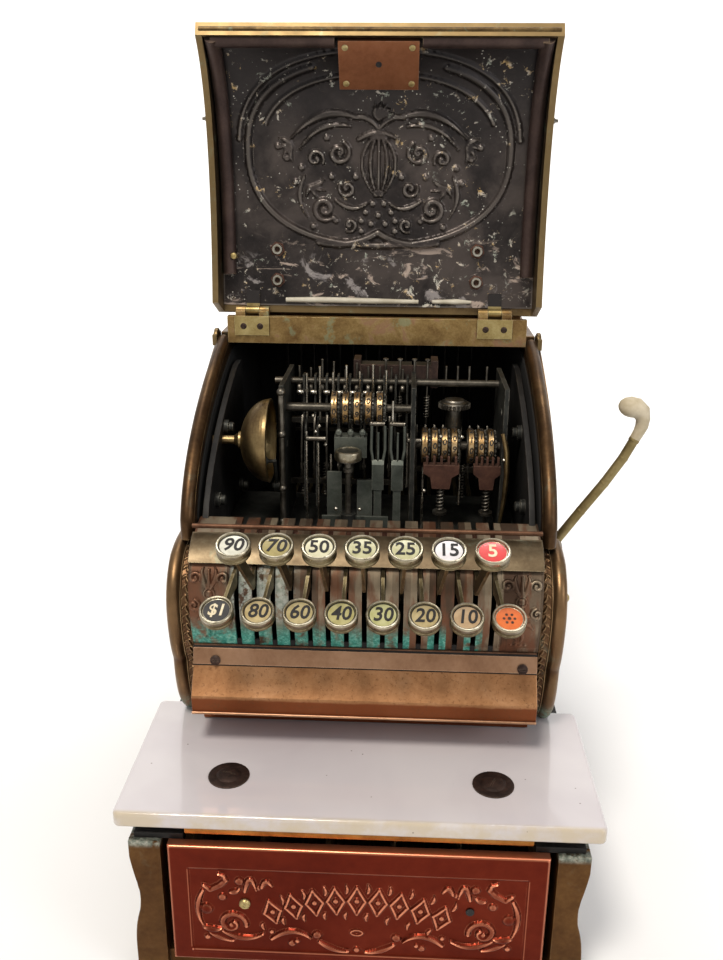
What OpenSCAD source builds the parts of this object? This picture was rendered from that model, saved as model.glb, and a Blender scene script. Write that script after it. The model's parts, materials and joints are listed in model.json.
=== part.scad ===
// Fifteen-key cash register with a lifting lid, a till drawer and pop-up price flags.
// Millimetres. +X is the clerk's right, -Y the clerk's side and +Z up.
// The origin is the middle of the underside of the bottom board.

/* [Base] */
// Width across the two front pillars
base_w = 268; // [266:1:274]
// Depth of the base, from the pillars' faces to the back wall
base_d = 388; // [384:1:390]
// Width of each front pillar
pillar_w = 19; // [17:1:19]
// Height of the front pillars
pillar_h = 100; // [96:1:100]
// Thickness of the bottom board
board_t = 4; // [3:1:6]
// Thickness of the deck that carries the cabinet
deck_t = 10; // [8:1:10]

/* [Slab] */
// Width of the white coin slab
slab_w = 280; // [270:1:290]
// Depth of the coin slab
slab_d = 117; // [114:1:117]
// Thickness of the coin slab
slab_t = 10; // [8:1:10]
// Radius of the slab's corners in plan
slab_corner = 4; // [3:1:16]
// Distance between the two slab bolts
bolt_gap = 158; // [140:1:180]
// Diameter of the slab bolts' heads
bolt_d = 22; // [16:1:26]

/* [Cabinet] */
// Clear width between the two cheeks
cheek_gap = 213; // [213:1:214]
// Thickness of a cheek casting
cheek_t = 16; // [14:1:16]
// Clear width between the side panels
side_gap = 216; // [215:1:216]
// Thickness of the side panels' inner layer, which the lid closes on
seat_t = 9; // [9:1:10]
// Thickness of the side panels' outer layer
band_t = 3.5; // [2:0.5:3.5]
// Height of the side panels behind the lid
side_top = 345; // [345:1:345]

/* [Keys] */
// Distance between two slots of the keyboard
key_pitch = 11; // [10.8:0.1:11.2]
// Distance between two caps, which fan out a little
cap_pitch = 11.8; // [11.6:0.1:12]
// Diameter of a key cap
cap_d = 18.8; // [17:0.1:19.2]
// Thickness of a key cap
cap_t = 5.6; // [4:0.1:6.5]
// Thickness of a key lever
lever_t = 2; // [1.6:0.1:2.2]
// Width of a keyboard slot
slot_w = 3; // [2.8:0.1:3.2]
// Diameter of the shaft that the levers turn on
shaft_d = 8; // [6:1:9]

/* [Lid] */
// Angle from the closed lid to the open one
open_angle = 114.7; // [100:0.1:115]
// Width of the lid
lid_w = 232.4; // [231.6:0.1:232.8]
// Thickness of the lid's curved skin
skin_t = 2.5; // [2:0.1:2.6]
// Thickness of the lid's side walls
wall_t = 4.2; // [3:0.1:4.2]

/* [Drawer] */
// Width of the drawer's copper front
front_w = 220; // [216:1:224]
// Height of the drawer's copper front
front_h = 83; // [80:1:83]
// Depth of the till tray
tray_d = 340; // [330:1:342]
// Thickness of the tray's boards
tray_t = 5; // [4:0.5:6]

/* [Indicator] */
// Width of the indicator housing
box_w = 212; // [210:1:212]
// Height of the indicator housing
box_h = 97; // [95:1:100]
// Width of a price flag
flag_w = 10; // [8:0.5:10]
// Height of a price flag
flag_h = 20; // [16:1:20]
// Diameter of a flag rod
flag_rod_d = 2.4; // [2:0.1:2.6]

/* [Mechanism] */
// Radius of the bell's mouth
bell_r = 28; // [24:1:28]
// Depth of the bell
bell_depth = 20; // [16:1:20]
// Radius of the left number wheels
wheel_left_r = 11; // [9:1:12]
// Radius of the right number wheels
wheel_right_r = 12; // [10:1:13]
// Diameter of the axles of the number wheels
axle_d = 6; // [4:1:7]
// Radius of the reset knob
knob_r = 8.5; // [6:0.5:10]

/* [Hand lever] */
// Radius of the lever's rod
hand_rod_r = 3.2; // [2.6:0.1:3.4]
// Radius of the hub that the lever turns on
hand_hub_r = 8; // [7:0.5:9]

/* [Hidden] */
KEYS = ["100", "90", "80", "70", "60", "50", "40", "35", "30", "25", "20", "15", "10", "5", "open"];

$fn = 48;
run_gap = 0.05;                    // radial clearance of a running fit
free_gap = 0.3;                    // distance kept between separate bodies

base_y0 = -194;                    // faces of the pillars
base_y1 = base_y0 + base_d;        // back of the base
base_wall = 4;                     // thickness of the base's side and back walls
deck_z = pillar_h + 4;             // underside of the deck
cab_z = deck_z + deck_t;           // top of the deck, where the cabinet stands
slab_y0 = -200;                    // front edge of the slab
slab_y1 = slab_y0 + slab_d;        // back edge of the slab
slab_top = cab_z + slab_t;
bolt_y = slab_y0 + 37;

cheek_x = cheek_gap / 2;           // inner face of a cheek
cheek_y1 = -58;                    // back edge of a cheek
side_x = side_gap / 2;             // inner face of a side panel
band_x = side_x + seat_t;          // inner face of the outer layer
back_y = 195;                      // back of the side panels
plate_w = cheek_gap - 1;           // slot plate and its rails

axis_y = 51;                       // lid hinge axis
axis_z = 368;
hinge_x = [-90, 85];               // middles of the two hinges
knuckle_r = 3;
hinge_pin_r = 1.5;
leaf_half = 12;                    // half the width of a hinge
lid_knuckle_half = 4.7;            // half the width of the lid's knuckle
ledge_z = 349;                     // top of the ledge under the hinge bar

seat_start = [-97, 262];           // rim of the closed lid, front to back
seat_mid = [-76, 316];
seat_end = [axis_y, 350];
skin_start = [-105.5, 262];        // outside of the closed lid, front to back
skin_mid = [-92, 335];
skin_end = [axis_y, 375];

key_y = -20;                       // key shaft
key_z = 205;
tail_y = 152;                      // back end of the key levers
arm_z0 = 202;                      // lever's underside and top inside the cabinet
arm_z1 = 212;
nose_z0 = 234;                     // lever's underside and top in the slots
nose_z1 = 244;
nose_y = -134;                     // where a lever leaves the slots and fans out
upper_cap = [-162, 272, 68];       // y, z and tilt of the upper row of caps
lower_cap = [-158, 230, 63];       // y, z and tilt of the lower row of caps

front_y = -197;                    // outside of the drawer's front
front_t = 5;
front_z = 18;
tray_x = 108;                      // outside of the tray's side boards
tray_y0 = front_y + front_t;
tray_y1 = tray_y0 + tray_d;
tray_z = 20;                       // underside of the tray
tray_top = 78;

flag_y = 150;                      // row of flags
flag_z = arm_z1 + 0.6;             // lower ends of the rods
flag_tab_z = 374;                  // lower edges of the tabs
box_y0 = 68;                       // indicator housing
box_y1 = 190;
box_wall = 2.5;
window_z0 = 396;
window_z1 = 422;

mech_z = 230;                      // top of the mechanism's base plate
upright_left_x = -61;
upright_mid_x = 26;
upright_right_x = 86.5;
upright_t = 3;
left_axle = [-20, 315];            // y and z of the axles and rods
right_axle = [-20, 290];
upper_rod = [10, 326];
bell_x = -68;                      // plane of the bell's mouth
bell_y = -30;
bell_z = 294;
hammer_z = 262;                    // pivot of the bell hammer
hammer_len = 24;
hammer_tilt = 28;
plunger_x = -15;
plunger_y = -40;

hand_y = -35;                      // pivot of the hand lever
hand_z = 222;
hand_path = [[126.4, 228], [141.5, 250.5], [155.4, 270.7], [166.2, 288.5], [172.4, 301.7]];
grip_path = [[172.4, 301.7], [176.4, 310.2], [174.6, 320.4], [167, 323]];
grip_radii = [3.8, 4.6, 6, 7];
joint_swell = 0.15;                // how far a rod's elbow balls stand proud

// Points of a quadratic curve from a to c, drawn towards b
function bez(a, b, c, first = 0, n = 12) =
    [for (i = [first:n]) let (t = i / n) (1 - t) * (1 - t) * a + 2 * t * (1 - t) * b + t * t * c];

function reversed(points) = [for (i = [len(points) - 1:-1:0]) points[i]];

function shifted(points, dy, dz) = [for (p = points) p + [dy, dz]];

function key_x(i) = (i - 7) * key_pitch;

function cap_x(i) = (i - 7) * cap_pitch;

// Front surface of the keyboard plate, bottom to top, moved outwards by off
function plate_curve(off) = concat(
    bez([-121 - off, 190], [-130 - off, 212], [-127 - off, 233]),
    bez([-127 - off, 233], [-121 - off, 258 + off], [-83, 259.5 + off], 1)
);

function cheek_outline(inset) = concat(
    [[cheek_y1, cab_z], [slab_y1 + 0.6, cab_z], [slab_y1 + 0.6, slab_top + 0.5]],
    bez([-92 + inset, slab_top + 0.5], [-112 + inset, 140], [-113 + inset, 172]),
    bez([-113 + inset, 172], [-120 + inset, 184], [-122 + inset, 203], 1),
    bez([-122 + inset, 203], [-125 + inset, 230 - inset], [-103 + inset, 243 - inset], 1),
    bez([-103 + inset, 243 - inset], [-92 + inset, 247.5 - inset], [-75, 247.5 - inset], 1),
    [[cheek_y1, 247.5 - inset]]
);

module block(x0, x1, y0, y1, z0, z1) {
    translate([x0, y0, z0]) cube([x1 - x0, y1 - y0, z1 - z0]);
}

// A (y, z) outline drawn out along X
module along_x(x0, x1, points) {
    translate([x0, 0, 0])
        rotate([90, 0, 90])
            linear_extrude(x1 - x0)
                polygon(points);
}

module bar_x(x0, x1, y, z, r) {
    translate([x0, y, z]) rotate([0, 90, 0]) cylinder(h = x1 - x0, r = r);
}

// A round rod from p to q
module rod(p, q, r1, r2) {
    d = q - p;
    translate(p)
        rotate([0, acos(d[2] / norm(d)), atan2(d[1], d[0])])
            cylinder(h = norm(d), r1 = r1, r2 = r2);
}

module both_sides() {
    children();
    mirror([1, 0, 0]) children();
}

module slotted_head(r, h) {
    difference() {
        intersection() {
            cylinder(h = h, r = r);
            translate([0, 0, h - 1.7 * r]) sphere(r = 1.7 * r);
        }
        translate([-r, -0.4, h - 0.6]) cube([2 * r, 0.8, 1]);
    }
}

module base_frame() {
    wall_x = base_w / 2 - 3;
    color("saddlebrown") {
        block(-base_w / 2, base_w / 2, base_y0, base_y1, 0, board_t);
        block(-wall_x, wall_x, base_y1 - base_wall, base_y1, board_t, deck_z);
        block(-base_w / 2 + pillar_w, base_w / 2 - pillar_w, base_y0 + 4, base_y0 + 14, board_t, 16);
        both_sides() {
            block(base_w / 2 - pillar_w, base_w / 2, base_y0, base_y0 + 44, board_t, pillar_h);
            block(wall_x - base_wall, wall_x, base_y0 + 44, base_y1 - base_wall, board_t, deck_z);
            block(100, wall_x - base_wall, base_y0 + 44, base_y1 - 14, 14, tray_z - free_gap);
        }
    }
}

module deck_frame() {
    color([0.12, 0.11, 0.10]) {
        difference() {
            block(-base_w / 2 + 3, base_w / 2 - 3, base_y0 + 8, base_y1, deck_z, cab_z);
            block(-116, 116, base_y0 + 44, base_y1 - 14, deck_z - 1, cab_z - 4);
        }
        both_sides() block(102, base_w / 2 - 3, base_y0 + 3, base_y0 + 43, pillar_h, deck_z);
    }
}

// A round-edged disc, for the slab's corners
module slab_corner_disc() {
    edge_r = 2;
    rotate_extrude($fn = 32)
        union() {
            square([slab_corner - edge_r, slab_t]);
            translate([0, edge_r]) square([slab_corner, slab_t - 2 * edge_r]);
            for (z = [edge_r, slab_t - edge_r])
                translate([slab_corner - edge_r, z]) circle(r = edge_r, $fn = 16);
        }
}

module slab() {
    x = slab_w / 2 - slab_corner;
    color("white")
        translate([0, 0, cab_z])
            hull()
                for (sx = [-x, x], y = [slab_y0 + slab_corner, slab_y1 - slab_corner])
                    translate([sx, y, 0]) slab_corner_disc();
}

module fixed_screws() {
    color([0.28, 0.18, 0.13]) {
        for (x = [-bolt_gap / 2, bolt_gap / 2])
            translate([x, bolt_y, slab_top]) rotate([0, 0, 25 + x / 2]) slotted_head(bolt_d / 2, 2.6);
        for (x = [-92, 97])
            translate([x, -125.3, 180.6]) rotate([76, 0, 0]) slotted_head(3.2, 1.6);
    }
}

module cheek() {
    color("sienna") {
        along_x(cheek_x, cheek_x + 7, cheek_outline(2));
        along_x(cheek_x + 7, cheek_x + cheek_t, cheek_outline(0));
    }
}

module side_panel() {
    seat = shifted(bez(seat_start, seat_mid, seat_end), 0, -0.4);
    color("sienna")
        difference() {
            union() {
                along_x(side_x, band_x, concat(
                    [[back_y, cab_z], [cheek_y1 + 0.5, cab_z], [cheek_y1 + 0.5, 248], [seat_start[0], 248]],
                    seat,
                    [[axis_y, side_top], [back_y, side_top]]
                ));
                along_x(band_x, band_x + band_t, concat(
                    [[back_y, cab_z], [cheek_y1 + 0.5, cab_z], [cheek_y1 + 0.5, 248], [-74, 248]],
                    bez([-72, 252], [-52, 304], [60, 342], 0),
                    [[back_y, 342]]
                ));
            }
            bar_x(band_x, band_x + band_t + 1, hand_y, hand_z, 3);
            along_x(side_x - 1, side_x + seat_t / 2, concat(
                [[back_y - 12, cab_z + 10], [cheek_y1 + 12, cab_z + 10], [cheek_y1 + 12, 262]],
                shifted(bez(seat_start, seat_mid, seat_end, 5), 6, -14),
                [[back_y - 12, side_top - 12]]
            ));
        }
}

module slot_plate() {
    color([0.55, 0.45, 0.33])
        difference() {
            along_x(-plate_w / 2, plate_w / 2, concat(plate_curve(0), reversed(plate_curve(-2.5))));
            for (i = [0:14])
                block(key_x(i) - slot_w / 2, key_x(i) + slot_w / 2, -135, -80, 194, 262);
        }
}

module keyboard_rail() {
    color([0.5, 0.42, 0.32])
        translate([-plate_w / 2, 0, 0])
            rotate([90, 0, 90])
                linear_extrude(plate_w)
                    intersection() {
                        polygon(concat(plate_curve(3.6), reversed(plate_curve(0.2))));
                        translate([-140, 246]) square([33, 20]);
                    }
}

module kick_rail() {
    color("chocolate")
        along_x(-plate_w / 2, plate_w / 2, [
            [-121.5, 188.5], [-125.3, 176], [-136, 161], [-135, 149], [-108, 145], [-104, 125],
            [-101.5, 125], [-105.6, 147.3], [-132.7, 151.2], [-133.4, 160], [-123, 175], [-119, 188.5]
        ]);
}

module hinge_bar() {
    color([0.66, 0.55, 0.3]) {
        block(-side_x, side_x, axis_y - 6, box_y0 - 2.2, side_top, ledge_z);
        block(-side_x, side_x, axis_y - 6, axis_y, ledge_z, 364.4);
        for (x = hinge_x) {
            block(x - leaf_half, x + leaf_half, axis_y - 7.2, axis_y - 6, 351, 364.4);
            bar_x(x - leaf_half, x + leaf_half, axis_y, axis_z, hinge_pin_r);
            for (x0 = [x - leaf_half, x + lid_knuckle_half + free_gap]) {
                block(x0, x0 + 7, axis_y - 5, axis_y, 364.4, axis_z);
                bar_x(x0, x0 + 7, axis_y, axis_z, knuckle_r);
            }
        }
    }
}

module rear_cover() {
    color("saddlebrown") {
        block(-side_x + 0.5, side_x - 0.5, box_y1 + 0.5, back_y - 1.5, cab_z + 0.5, side_top - 0.5);
        block(-side_x + 16, side_x - 16, back_y - 1.5, back_y, cab_z + 20, side_top - 20);
        translate([0, back_y, 300]) rotate([-90, 0, 0]) cylinder(h = 1, r = 9);
    }
}

// Outline of the indicator housing in (y, z), inset by d
function box_outline(d) = concat(
    [[box_y1 - d, side_top], [box_y0 + d, side_top]],
    bez([box_y0 + d, side_top + box_h - 16], [box_y0 + d, side_top + box_h - d],
        [box_y0 + 16, side_top + box_h - d]),
    bez([box_y1 - 16, side_top + box_h - d], [box_y1 - d, side_top + box_h - d],
        [box_y1 - d, side_top + box_h - 16])
);

module indicator_box() {
    inner = box_w / 2 - box_wall;
    color("saddlebrown") {
        difference() {
            along_x(-box_w / 2, box_w / 2, box_outline(0));
            along_x(-inner, inner, box_outline(box_wall));
            block(-inner, inner, box_y0 + box_wall, box_y1 - box_wall, side_top - 1, side_top + 1);
            block(-94, 94, box_y0 - 1, box_y1 + 1, window_z0, window_z1);
        }
        difference() {
            block(-band_x, band_x, box_y0 - 2, back_y - 2, side_top, ledge_z);
            block(-box_w / 2 - free_gap, box_w / 2 + free_gap, box_y0 - free_gap, box_y1 + free_gap,
                  side_top - 1, ledge_z + 1);
        }
    }
}

module window_glass() {
    color([0.8, 0.9, 0.9, 0.4])
        for (y = [box_y0 + box_wall, box_y1 - box_wall - 2])
            block(-98, 98, y, y + 2, window_z0 - 3, window_z1 + 3);
}

module upright(x, y0, y1, top) {
    difference() {
        block(x, x + upright_t, y0, y1, mech_z, top);
        bar_x(x - 1, x + upright_t + 1, upper_rod[0], upper_rod[1], 2.5);
        bar_x(x - 1, x + upright_t + 1, left_axle[0], left_axle[1], axle_d / 2);
        bar_x(x - 1, x + upright_t + 1, right_axle[0], right_axle[1], axle_d / 2);
    }
}

module mech_frame() {
    leg_x = side_x - 8;
    color([0.2, 0.2, 0.19]) {
        difference() {
            union() {
                block(-leg_x - 6, leg_x + 6, -54, 44, mech_z - 4, mech_z);
                both_sides() block(leg_x, leg_x + 6, -34, -6, cab_z, mech_z - 4);
                translate([plunger_x, plunger_y, mech_z]) cylinder(h = 17, r = 5);
            }
            bar_x(-side_x, side_x, key_y, key_z, shaft_d / 2);
            translate([plunger_x, plunger_y, mech_z - 5]) cylinder(h = 24, r = 2 + run_gap);
        }
        upright(upright_left_x, -34, 30, 333);
        upright(upright_mid_x, -34, 30, 333);
        upright(upright_right_x, -34, 30, 333);
        bar_x(upright_left_x - 6.5, upright_left_x, bell_y, hammer_z, 1.5);
        block(-13, upright_mid_x, 14, 28, 323, 337);
        block(upright_mid_x + upright_t, 43, 14, 28, 323, 337);
    }
}

module key_shaft() {
    color("silver") bar_x(-side_x + 0.2, side_x - 0.2, key_y, key_z, shaft_d / 2);
}

module flag_guide(z) {
    difference() {
        block(-side_x, side_x, flag_y - 7, flag_y + 7, z, z + 3);
        for (i = [0:14])
            translate([key_x(i), flag_y, z - 1]) cylinder(h = 5, r = flag_rod_d / 2 + run_gap);
    }
}

module cross_rods() {
    color("silver") {
        bar_x(upright_left_x - 8, upright_right_x + 5, upper_rod[0], upper_rod[1], 2.5);
        bar_x(upright_left_x, upright_mid_x + upright_t, left_axle[0], left_axle[1], axle_d / 2);
        bar_x(upright_mid_x, upright_right_x + upright_t, right_axle[0], right_axle[1], axle_d / 2);
        flag_guide(250);
        flag_guide(338);
    }
}

module bell() {
    wall = 2;
    steps = 16;
    outer = [for (i = [0:steps]) [bell_r * cos(90 * i / steps), bell_depth * sin(90 * i / steps)]];
    inner = [for (i = [steps:-1:0])
        [(bell_r - wall) * cos(90 * i / steps), (bell_depth - wall) * sin(90 * i / steps)]];
    color([0.62, 0.5, 0.3]) {
        translate([bell_x, bell_y, bell_z])
            rotate([0, -90, 0])
                rotate_extrude()
                    polygon(concat(outer, inner));
        bar_x(-side_x, bell_x - bell_depth + 1, bell_y, bell_z, 3);
    }
}

module bell_hammer() {
    arm_x = upright_left_x - 3;
    ball_x = bell_x - 4;
    color("darkred") {
        difference() {
            bar_x(arm_x - 2, arm_x + 2, bell_y, hammer_z, 3.5);
            bar_x(arm_x - 3, arm_x + 3, bell_y, hammer_z, 1.5 + run_gap);
        }
        translate([arm_x, bell_y, hammer_z])
            rotate([hammer_tilt, 0, 0]) {
                translate([0, 0, 3]) cylinder(h = hammer_len - 2, r = 1.2);
                translate([0, 0, hammer_len]) rotate([0, -90, 0]) cylinder(h = arm_x - ball_x, r = 1.2);
                translate([ball_x - arm_x, 0, hammer_len]) sphere(r = 4);
            }
    }
}

// Number wheels on one sleeve; groups holds the left edges of the groups and their counts
module wheel_bank(axle, groups, pitch, wheel_r) {
    x0 = groups[0][0];
    last = groups[len(groups) - 1];
    x1 = last[0] + (last[1] - 1) * pitch + pitch * 0.7;
    difference() {
        union() {
            bar_x(x0, x1, axle[0], axle[1], axle_d / 2 + 2.5);
            for (g = groups, k = [0:g[1] - 1])
                bar_x(g[0] + k * pitch, g[0] + (k + 0.7) * pitch, axle[0], axle[1], wheel_r);
        }
        bar_x(x0 - 1, x1 + 1, axle[0], axle[1], axle_d / 2 + run_gap);
    }
}

module wheels_left() {
    color("goldenrod") wheel_bank(left_axle, [[-28, 5]], 7.6, wheel_left_r);
}

module wheels_right() {
    color("peru") wheel_bank(right_axle, [[33, 4], [64, 3]], 6.6, wheel_right_r);
}

module reset_plunger() {
    color("silver")
        translate([plunger_x, plunger_y, 0]) {
            translate([0, 0, 222]) cylinder(h = 64, r = 2);
            translate([0, 0, 285]) cylinder(h = 6, r = knob_r);
        }
}

// Turns the lid's parts from the closed place that they are drawn in to the open one
module opened() {
    translate([0, axis_y, axis_z])
        rotate([-open_angle, 0, 0])
            translate([0, -axis_y, -axis_z])
                children();
}

module lid_shell() {
    x = lid_w / 2;
    skin_out = bez(skin_start, skin_mid, skin_end, 0, 20);
    skin_in = bez(skin_start + [skin_t, 0], skin_mid + [1, -skin_t], skin_end + [0, -skin_t], 0, 20);
    rim = bez(seat_start, seat_mid, seat_end, 0, 20);
    color([0.3, 0.25, 0.2])
        opened() {
            along_x(-x, x, concat(skin_out, reversed(skin_in)));
            along_x(x - wall_t, x, concat(skin_out, reversed(rim)));
            along_x(-x, -x + wall_t, concat(skin_out, reversed(rim)));
            block(-x, x, skin_start[0] + 0.3, seat_start[0], seat_start[1], seat_start[1] + skin_t);
        }
}

module lid_hinges() {
    color("darkgoldenrod")
        opened()
            for (x = hinge_x)
                translate([x, axis_y, axis_z])
                    difference() {
                        union() {
                            bar_x(-lid_knuckle_half, lid_knuckle_half, 0, 0, knuckle_r);
                            rotate([15.6, 0, 0])
                                block(-lid_knuckle_half, lid_knuckle_half, -14, -0.5, 1.9, 4.1);
                        }
                        bar_x(-10, 10, 0, 0, hinge_pin_r + run_gap);
                    }
}

module lock_case() {
    color("peru")
        translate([0, 32.3, 531.5])
            rotate([35.5, 0, 0])
                difference() {
                    block(-26, 26, -2.5, 2.5, -17, 17);
                    translate([0, -3, 1]) rotate([-90, 0, 0]) cylinder(h = 6, r = 1.8);
                }
}

module drawer_front() {
    color("firebrick")
        difference() {
            block(-front_w / 2, front_w / 2, front_y, tray_y0, front_z, front_z + front_h);
            translate([66, front_y - 1, 61]) rotate([-90, 0, 0]) cylinder(h = 8, r = 2.6);
        }
}

module drawer_tray() {
    coin_y = tray_y0 + 112;
    color("burlywood") {
        block(-tray_x, tray_x, tray_y0, tray_y1, tray_z, tray_z + tray_t);
        both_sides() block(tray_x - tray_t, tray_x, tray_y0, tray_y1, tray_z + tray_t, tray_top);
        block(-tray_x + tray_t, tray_x - tray_t, tray_y0, tray_y0 + tray_t, tray_z + tray_t, tray_top);
        block(-tray_x + tray_t, tray_x - tray_t, tray_y1 - tray_t, tray_y1, tray_z + tray_t, tray_top);
        block(-tray_x + tray_t, tray_x - tray_t, coin_y, coin_y + tray_t, tray_z + tray_t, tray_top - 8);
        for (x = [-63, -22, 19, 60])
            block(x, x + 3, tray_y0 + tray_t, coin_y, tray_z + tray_t, tray_top - 8);
        for (x = [-53, -1.5, 50])
            block(x, x + 3, coin_y + tray_t, tray_y1 - tray_t, tray_z + tray_t, tray_top - 8);
    }
}

// A round rod bent along a path of (x, z) points in the hand lever's plane
module bent_rod(path, radii) {
    for (i = [0:len(path) - 2]) {
        p = [path[i][0], hand_y, path[i][1]];
        q = [path[i + 1][0], hand_y, path[i + 1][1]];
        rod(p, q, radii[i], radii[i + 1]);
        if (i > 0) translate(p) sphere(r = radii[i] + joint_swell);
    }
}

module side_lever() {
    color([0.75, 0.7, 0.6])
        difference() {
            union() {
                bar_x(band_x + band_t + free_gap, band_x + band_t + 9, hand_y, hand_z, hand_hub_r);
                bent_rod(hand_path, [for (p = hand_path) hand_rod_r]);
            }
            bar_x(band_x, band_x + band_t + 10, hand_y, hand_z, 3 + run_gap);
        }
}

module lever_grip() {
    color("ivory") bent_rod(grip_path, grip_radii);
}

module key(i) {
    cap = i % 2 == 1 ? upper_cap : lower_cap;
    fan = atan2(cap_x(i) - key_x(i), nose_y - cap[0]);
    stem_start = [nose_y + 2, (nose_z0 + nose_z1) / 2];
    under = [cap[0] + cos(cap[2]) * cap_t / 2, cap[1] - sin(cap[2]) * cap_t / 2];
    reach = norm([cap_x(i) - key_x(i), nose_y - cap[0]]) / (nose_y - cap[0]);
    color([0.72, 0.66, 0.5]) {
        difference() {
            union() {
                along_x(key_x(i) - lever_t / 2, key_x(i) + lever_t / 2, [
                    [tail_y, arm_z0 + 3], [tail_y, arm_z1], [-78, arm_z1], [-106, nose_z1], [nose_y, nose_z1],
                    [nose_y, nose_z0], [-110, nose_z0], [-84, arm_z0], [key_y, arm_z0 - 4]
                ]);
                bar_x(key_x(i) - 3, key_x(i) + 3, key_y, key_z, 8);
            }
            bar_x(key_x(i) - 5, key_x(i) + 5, key_y, key_z, shaft_d / 2 + run_gap);
        }
        translate([key_x(i), nose_y, 0])
            rotate([0, 0, fan])
                translate([-lever_t / 2, 0, 0])
                    rotate([90, 0, 90])
                        linear_extrude(lever_t)
                            polygon([
                                [2, nose_z1], [2, nose_z0], [0, nose_z0],
                                [(under[0] - nose_y) * reach - 2, under[1] - 3],
                                [(under[0] - nose_y) * reach - 2, under[1] + 1],
                                [(under[0] - nose_y) * reach + 3, under[1] + 2],
                                [0, nose_z1]
                            ]);
        translate([cap_x(i), cap[0], cap[1]])
            rotate([90 - cap[2], 0, 0])
                translate([0, 0, -cap_t / 2]) {
                    cylinder(h = cap_t, r = cap_d / 2);
                    translate([0, 0, -1.6]) cylinder(h = 2, r = cap_d / 2 - 3);
                }
    }
}

module flag(i) {
    color("whitesmoke") {
        translate([key_x(i), flag_y, flag_z]) cylinder(h = flag_tab_z - flag_z, r = flag_rod_d / 2);
        block(key_x(i) - flag_w / 2, key_x(i) + flag_w / 2, flag_y - 0.6, flag_y + 0.6,
              flag_tab_z, flag_tab_z + flag_h);
    }
}

base_frame();
deck_frame();
slab();
fixed_screws();
mirror([1, 0, 0]) cheek();  // cheek_left
cheek();  // cheek_right
mirror([1, 0, 0]) side_panel();  // side_left
side_panel();  // side_right
slot_plate();
keyboard_rail();
kick_rail();
hinge_bar();
rear_cover();
indicator_box();
window_glass();
mech_frame();
key_shaft();
cross_rods();
bell();
bell_hammer();
wheels_left();
wheels_right();
reset_plunger();
lid_shell();
lid_hinges();
lock_case();
drawer_front();
drawer_tray();
side_lever();
lever_grip();
for (i = [0:14]) key(i);
for (i = [0:14]) flag(i);
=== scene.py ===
"""Looks of a fifteen-key cash register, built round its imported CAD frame.

Positions in the builders below are in millimetres, as in the CAD, and are scaled to metres
when a mesh is made. +X is the clerk's right, -Y the clerk's side, +Z up.
"""
import json
import math
import random

import bmesh
import bpy
import numpy as np
from mathutils import Matrix, Vector


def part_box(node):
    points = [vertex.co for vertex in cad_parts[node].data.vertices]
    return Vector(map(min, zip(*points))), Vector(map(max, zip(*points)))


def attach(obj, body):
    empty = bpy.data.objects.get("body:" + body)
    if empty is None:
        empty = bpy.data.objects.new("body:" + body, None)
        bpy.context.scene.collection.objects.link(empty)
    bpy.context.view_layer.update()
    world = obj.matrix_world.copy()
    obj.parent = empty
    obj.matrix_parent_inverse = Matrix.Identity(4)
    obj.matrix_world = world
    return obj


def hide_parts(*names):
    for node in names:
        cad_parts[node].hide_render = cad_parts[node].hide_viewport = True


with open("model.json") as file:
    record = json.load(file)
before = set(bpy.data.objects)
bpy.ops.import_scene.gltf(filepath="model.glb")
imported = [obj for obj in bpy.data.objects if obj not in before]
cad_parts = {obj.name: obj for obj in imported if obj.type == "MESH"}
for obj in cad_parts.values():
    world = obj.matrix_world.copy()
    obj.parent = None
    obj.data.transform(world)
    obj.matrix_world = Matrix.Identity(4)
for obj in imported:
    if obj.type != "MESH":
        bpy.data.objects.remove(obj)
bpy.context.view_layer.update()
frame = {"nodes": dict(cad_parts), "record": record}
CAD = frame["nodes"]
BODY_OF = {node: body for body, nodes in frame["record"]["behaviour"]["bodies"].items() for node in nodes}
MM = 0.001
random.seed(7)

KEYS = ["100", "90", "80", "70", "60", "50", "40", "35", "30", "25", "20", "15", "10", "5", "open"]
MIDDLE_KEY = 7
KEY_PITCH, CAP_PITCH = 11.0, 11.8
UPPER_CAP = (-162.0, 272.0, 68.0)      # y, z and tilt of a cap
LOWER_CAP = (-158.0, 230.0, 63.0)
AXIS_Y, AXIS_Z, OPEN_ANGLE = 51.0, 368.0, math.radians(114.7)
LEAST_RADIUS = 0.02                    # of a turned shape's tip
SHARP = math.radians(33)               # edges bent more than this are rounded


# ---------------------------------------------------------------- curves

def bezier(a, b, c, t):
    """Point and tangent of a quadratic curve."""
    a, b, c = (np.array(p, float) for p in (a, b, c))
    point = (1 - t) ** 2 * a + 2 * t * (1 - t) * b + t * t * c
    tangent = 2 * (1 - t) * (b - a) + 2 * t * (c - b)
    return point, tangent / np.linalg.norm(tangent)


def bezier_points(a, b, c, n=14):
    return [tuple(bezier(a, b, c, i / n)[0]) for i in range(n + 1)]


def run_lengths(points):
    """How far along a line of points each of them is."""
    return np.concatenate([[0], np.cumsum([np.linalg.norm(b - a) for a, b in zip(points, points[1:])])])


def edge_points(parts, n, inset=0.0):
    """Points, moved in by inset, and outward directions along joined (y, z) curves, n steps to each."""
    path = []
    for k, part in enumerate(parts):
        for i in range(0 if k == 0 else 1, n + 1):
            point, tangent = bezier(*part, i / n)
            out = np.array([-tangent[1], tangent[0]])
            path.append((point - out * inset, out))
    return path


def spiral(cx, cy, radius, turns=1.4, start=0.0, way=1, inner=0.16):
    """A scroll that winds in from its outer end."""
    steps = 26
    points = []
    for i in range(steps + 1):
        t = i / steps
        r = radius * (1 - t * (1 - inner))
        a = math.radians(start) + way * t * turns * 2 * math.pi
        points.append((cx + r * math.cos(a), cy + r * math.sin(a)))
    return points


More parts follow.
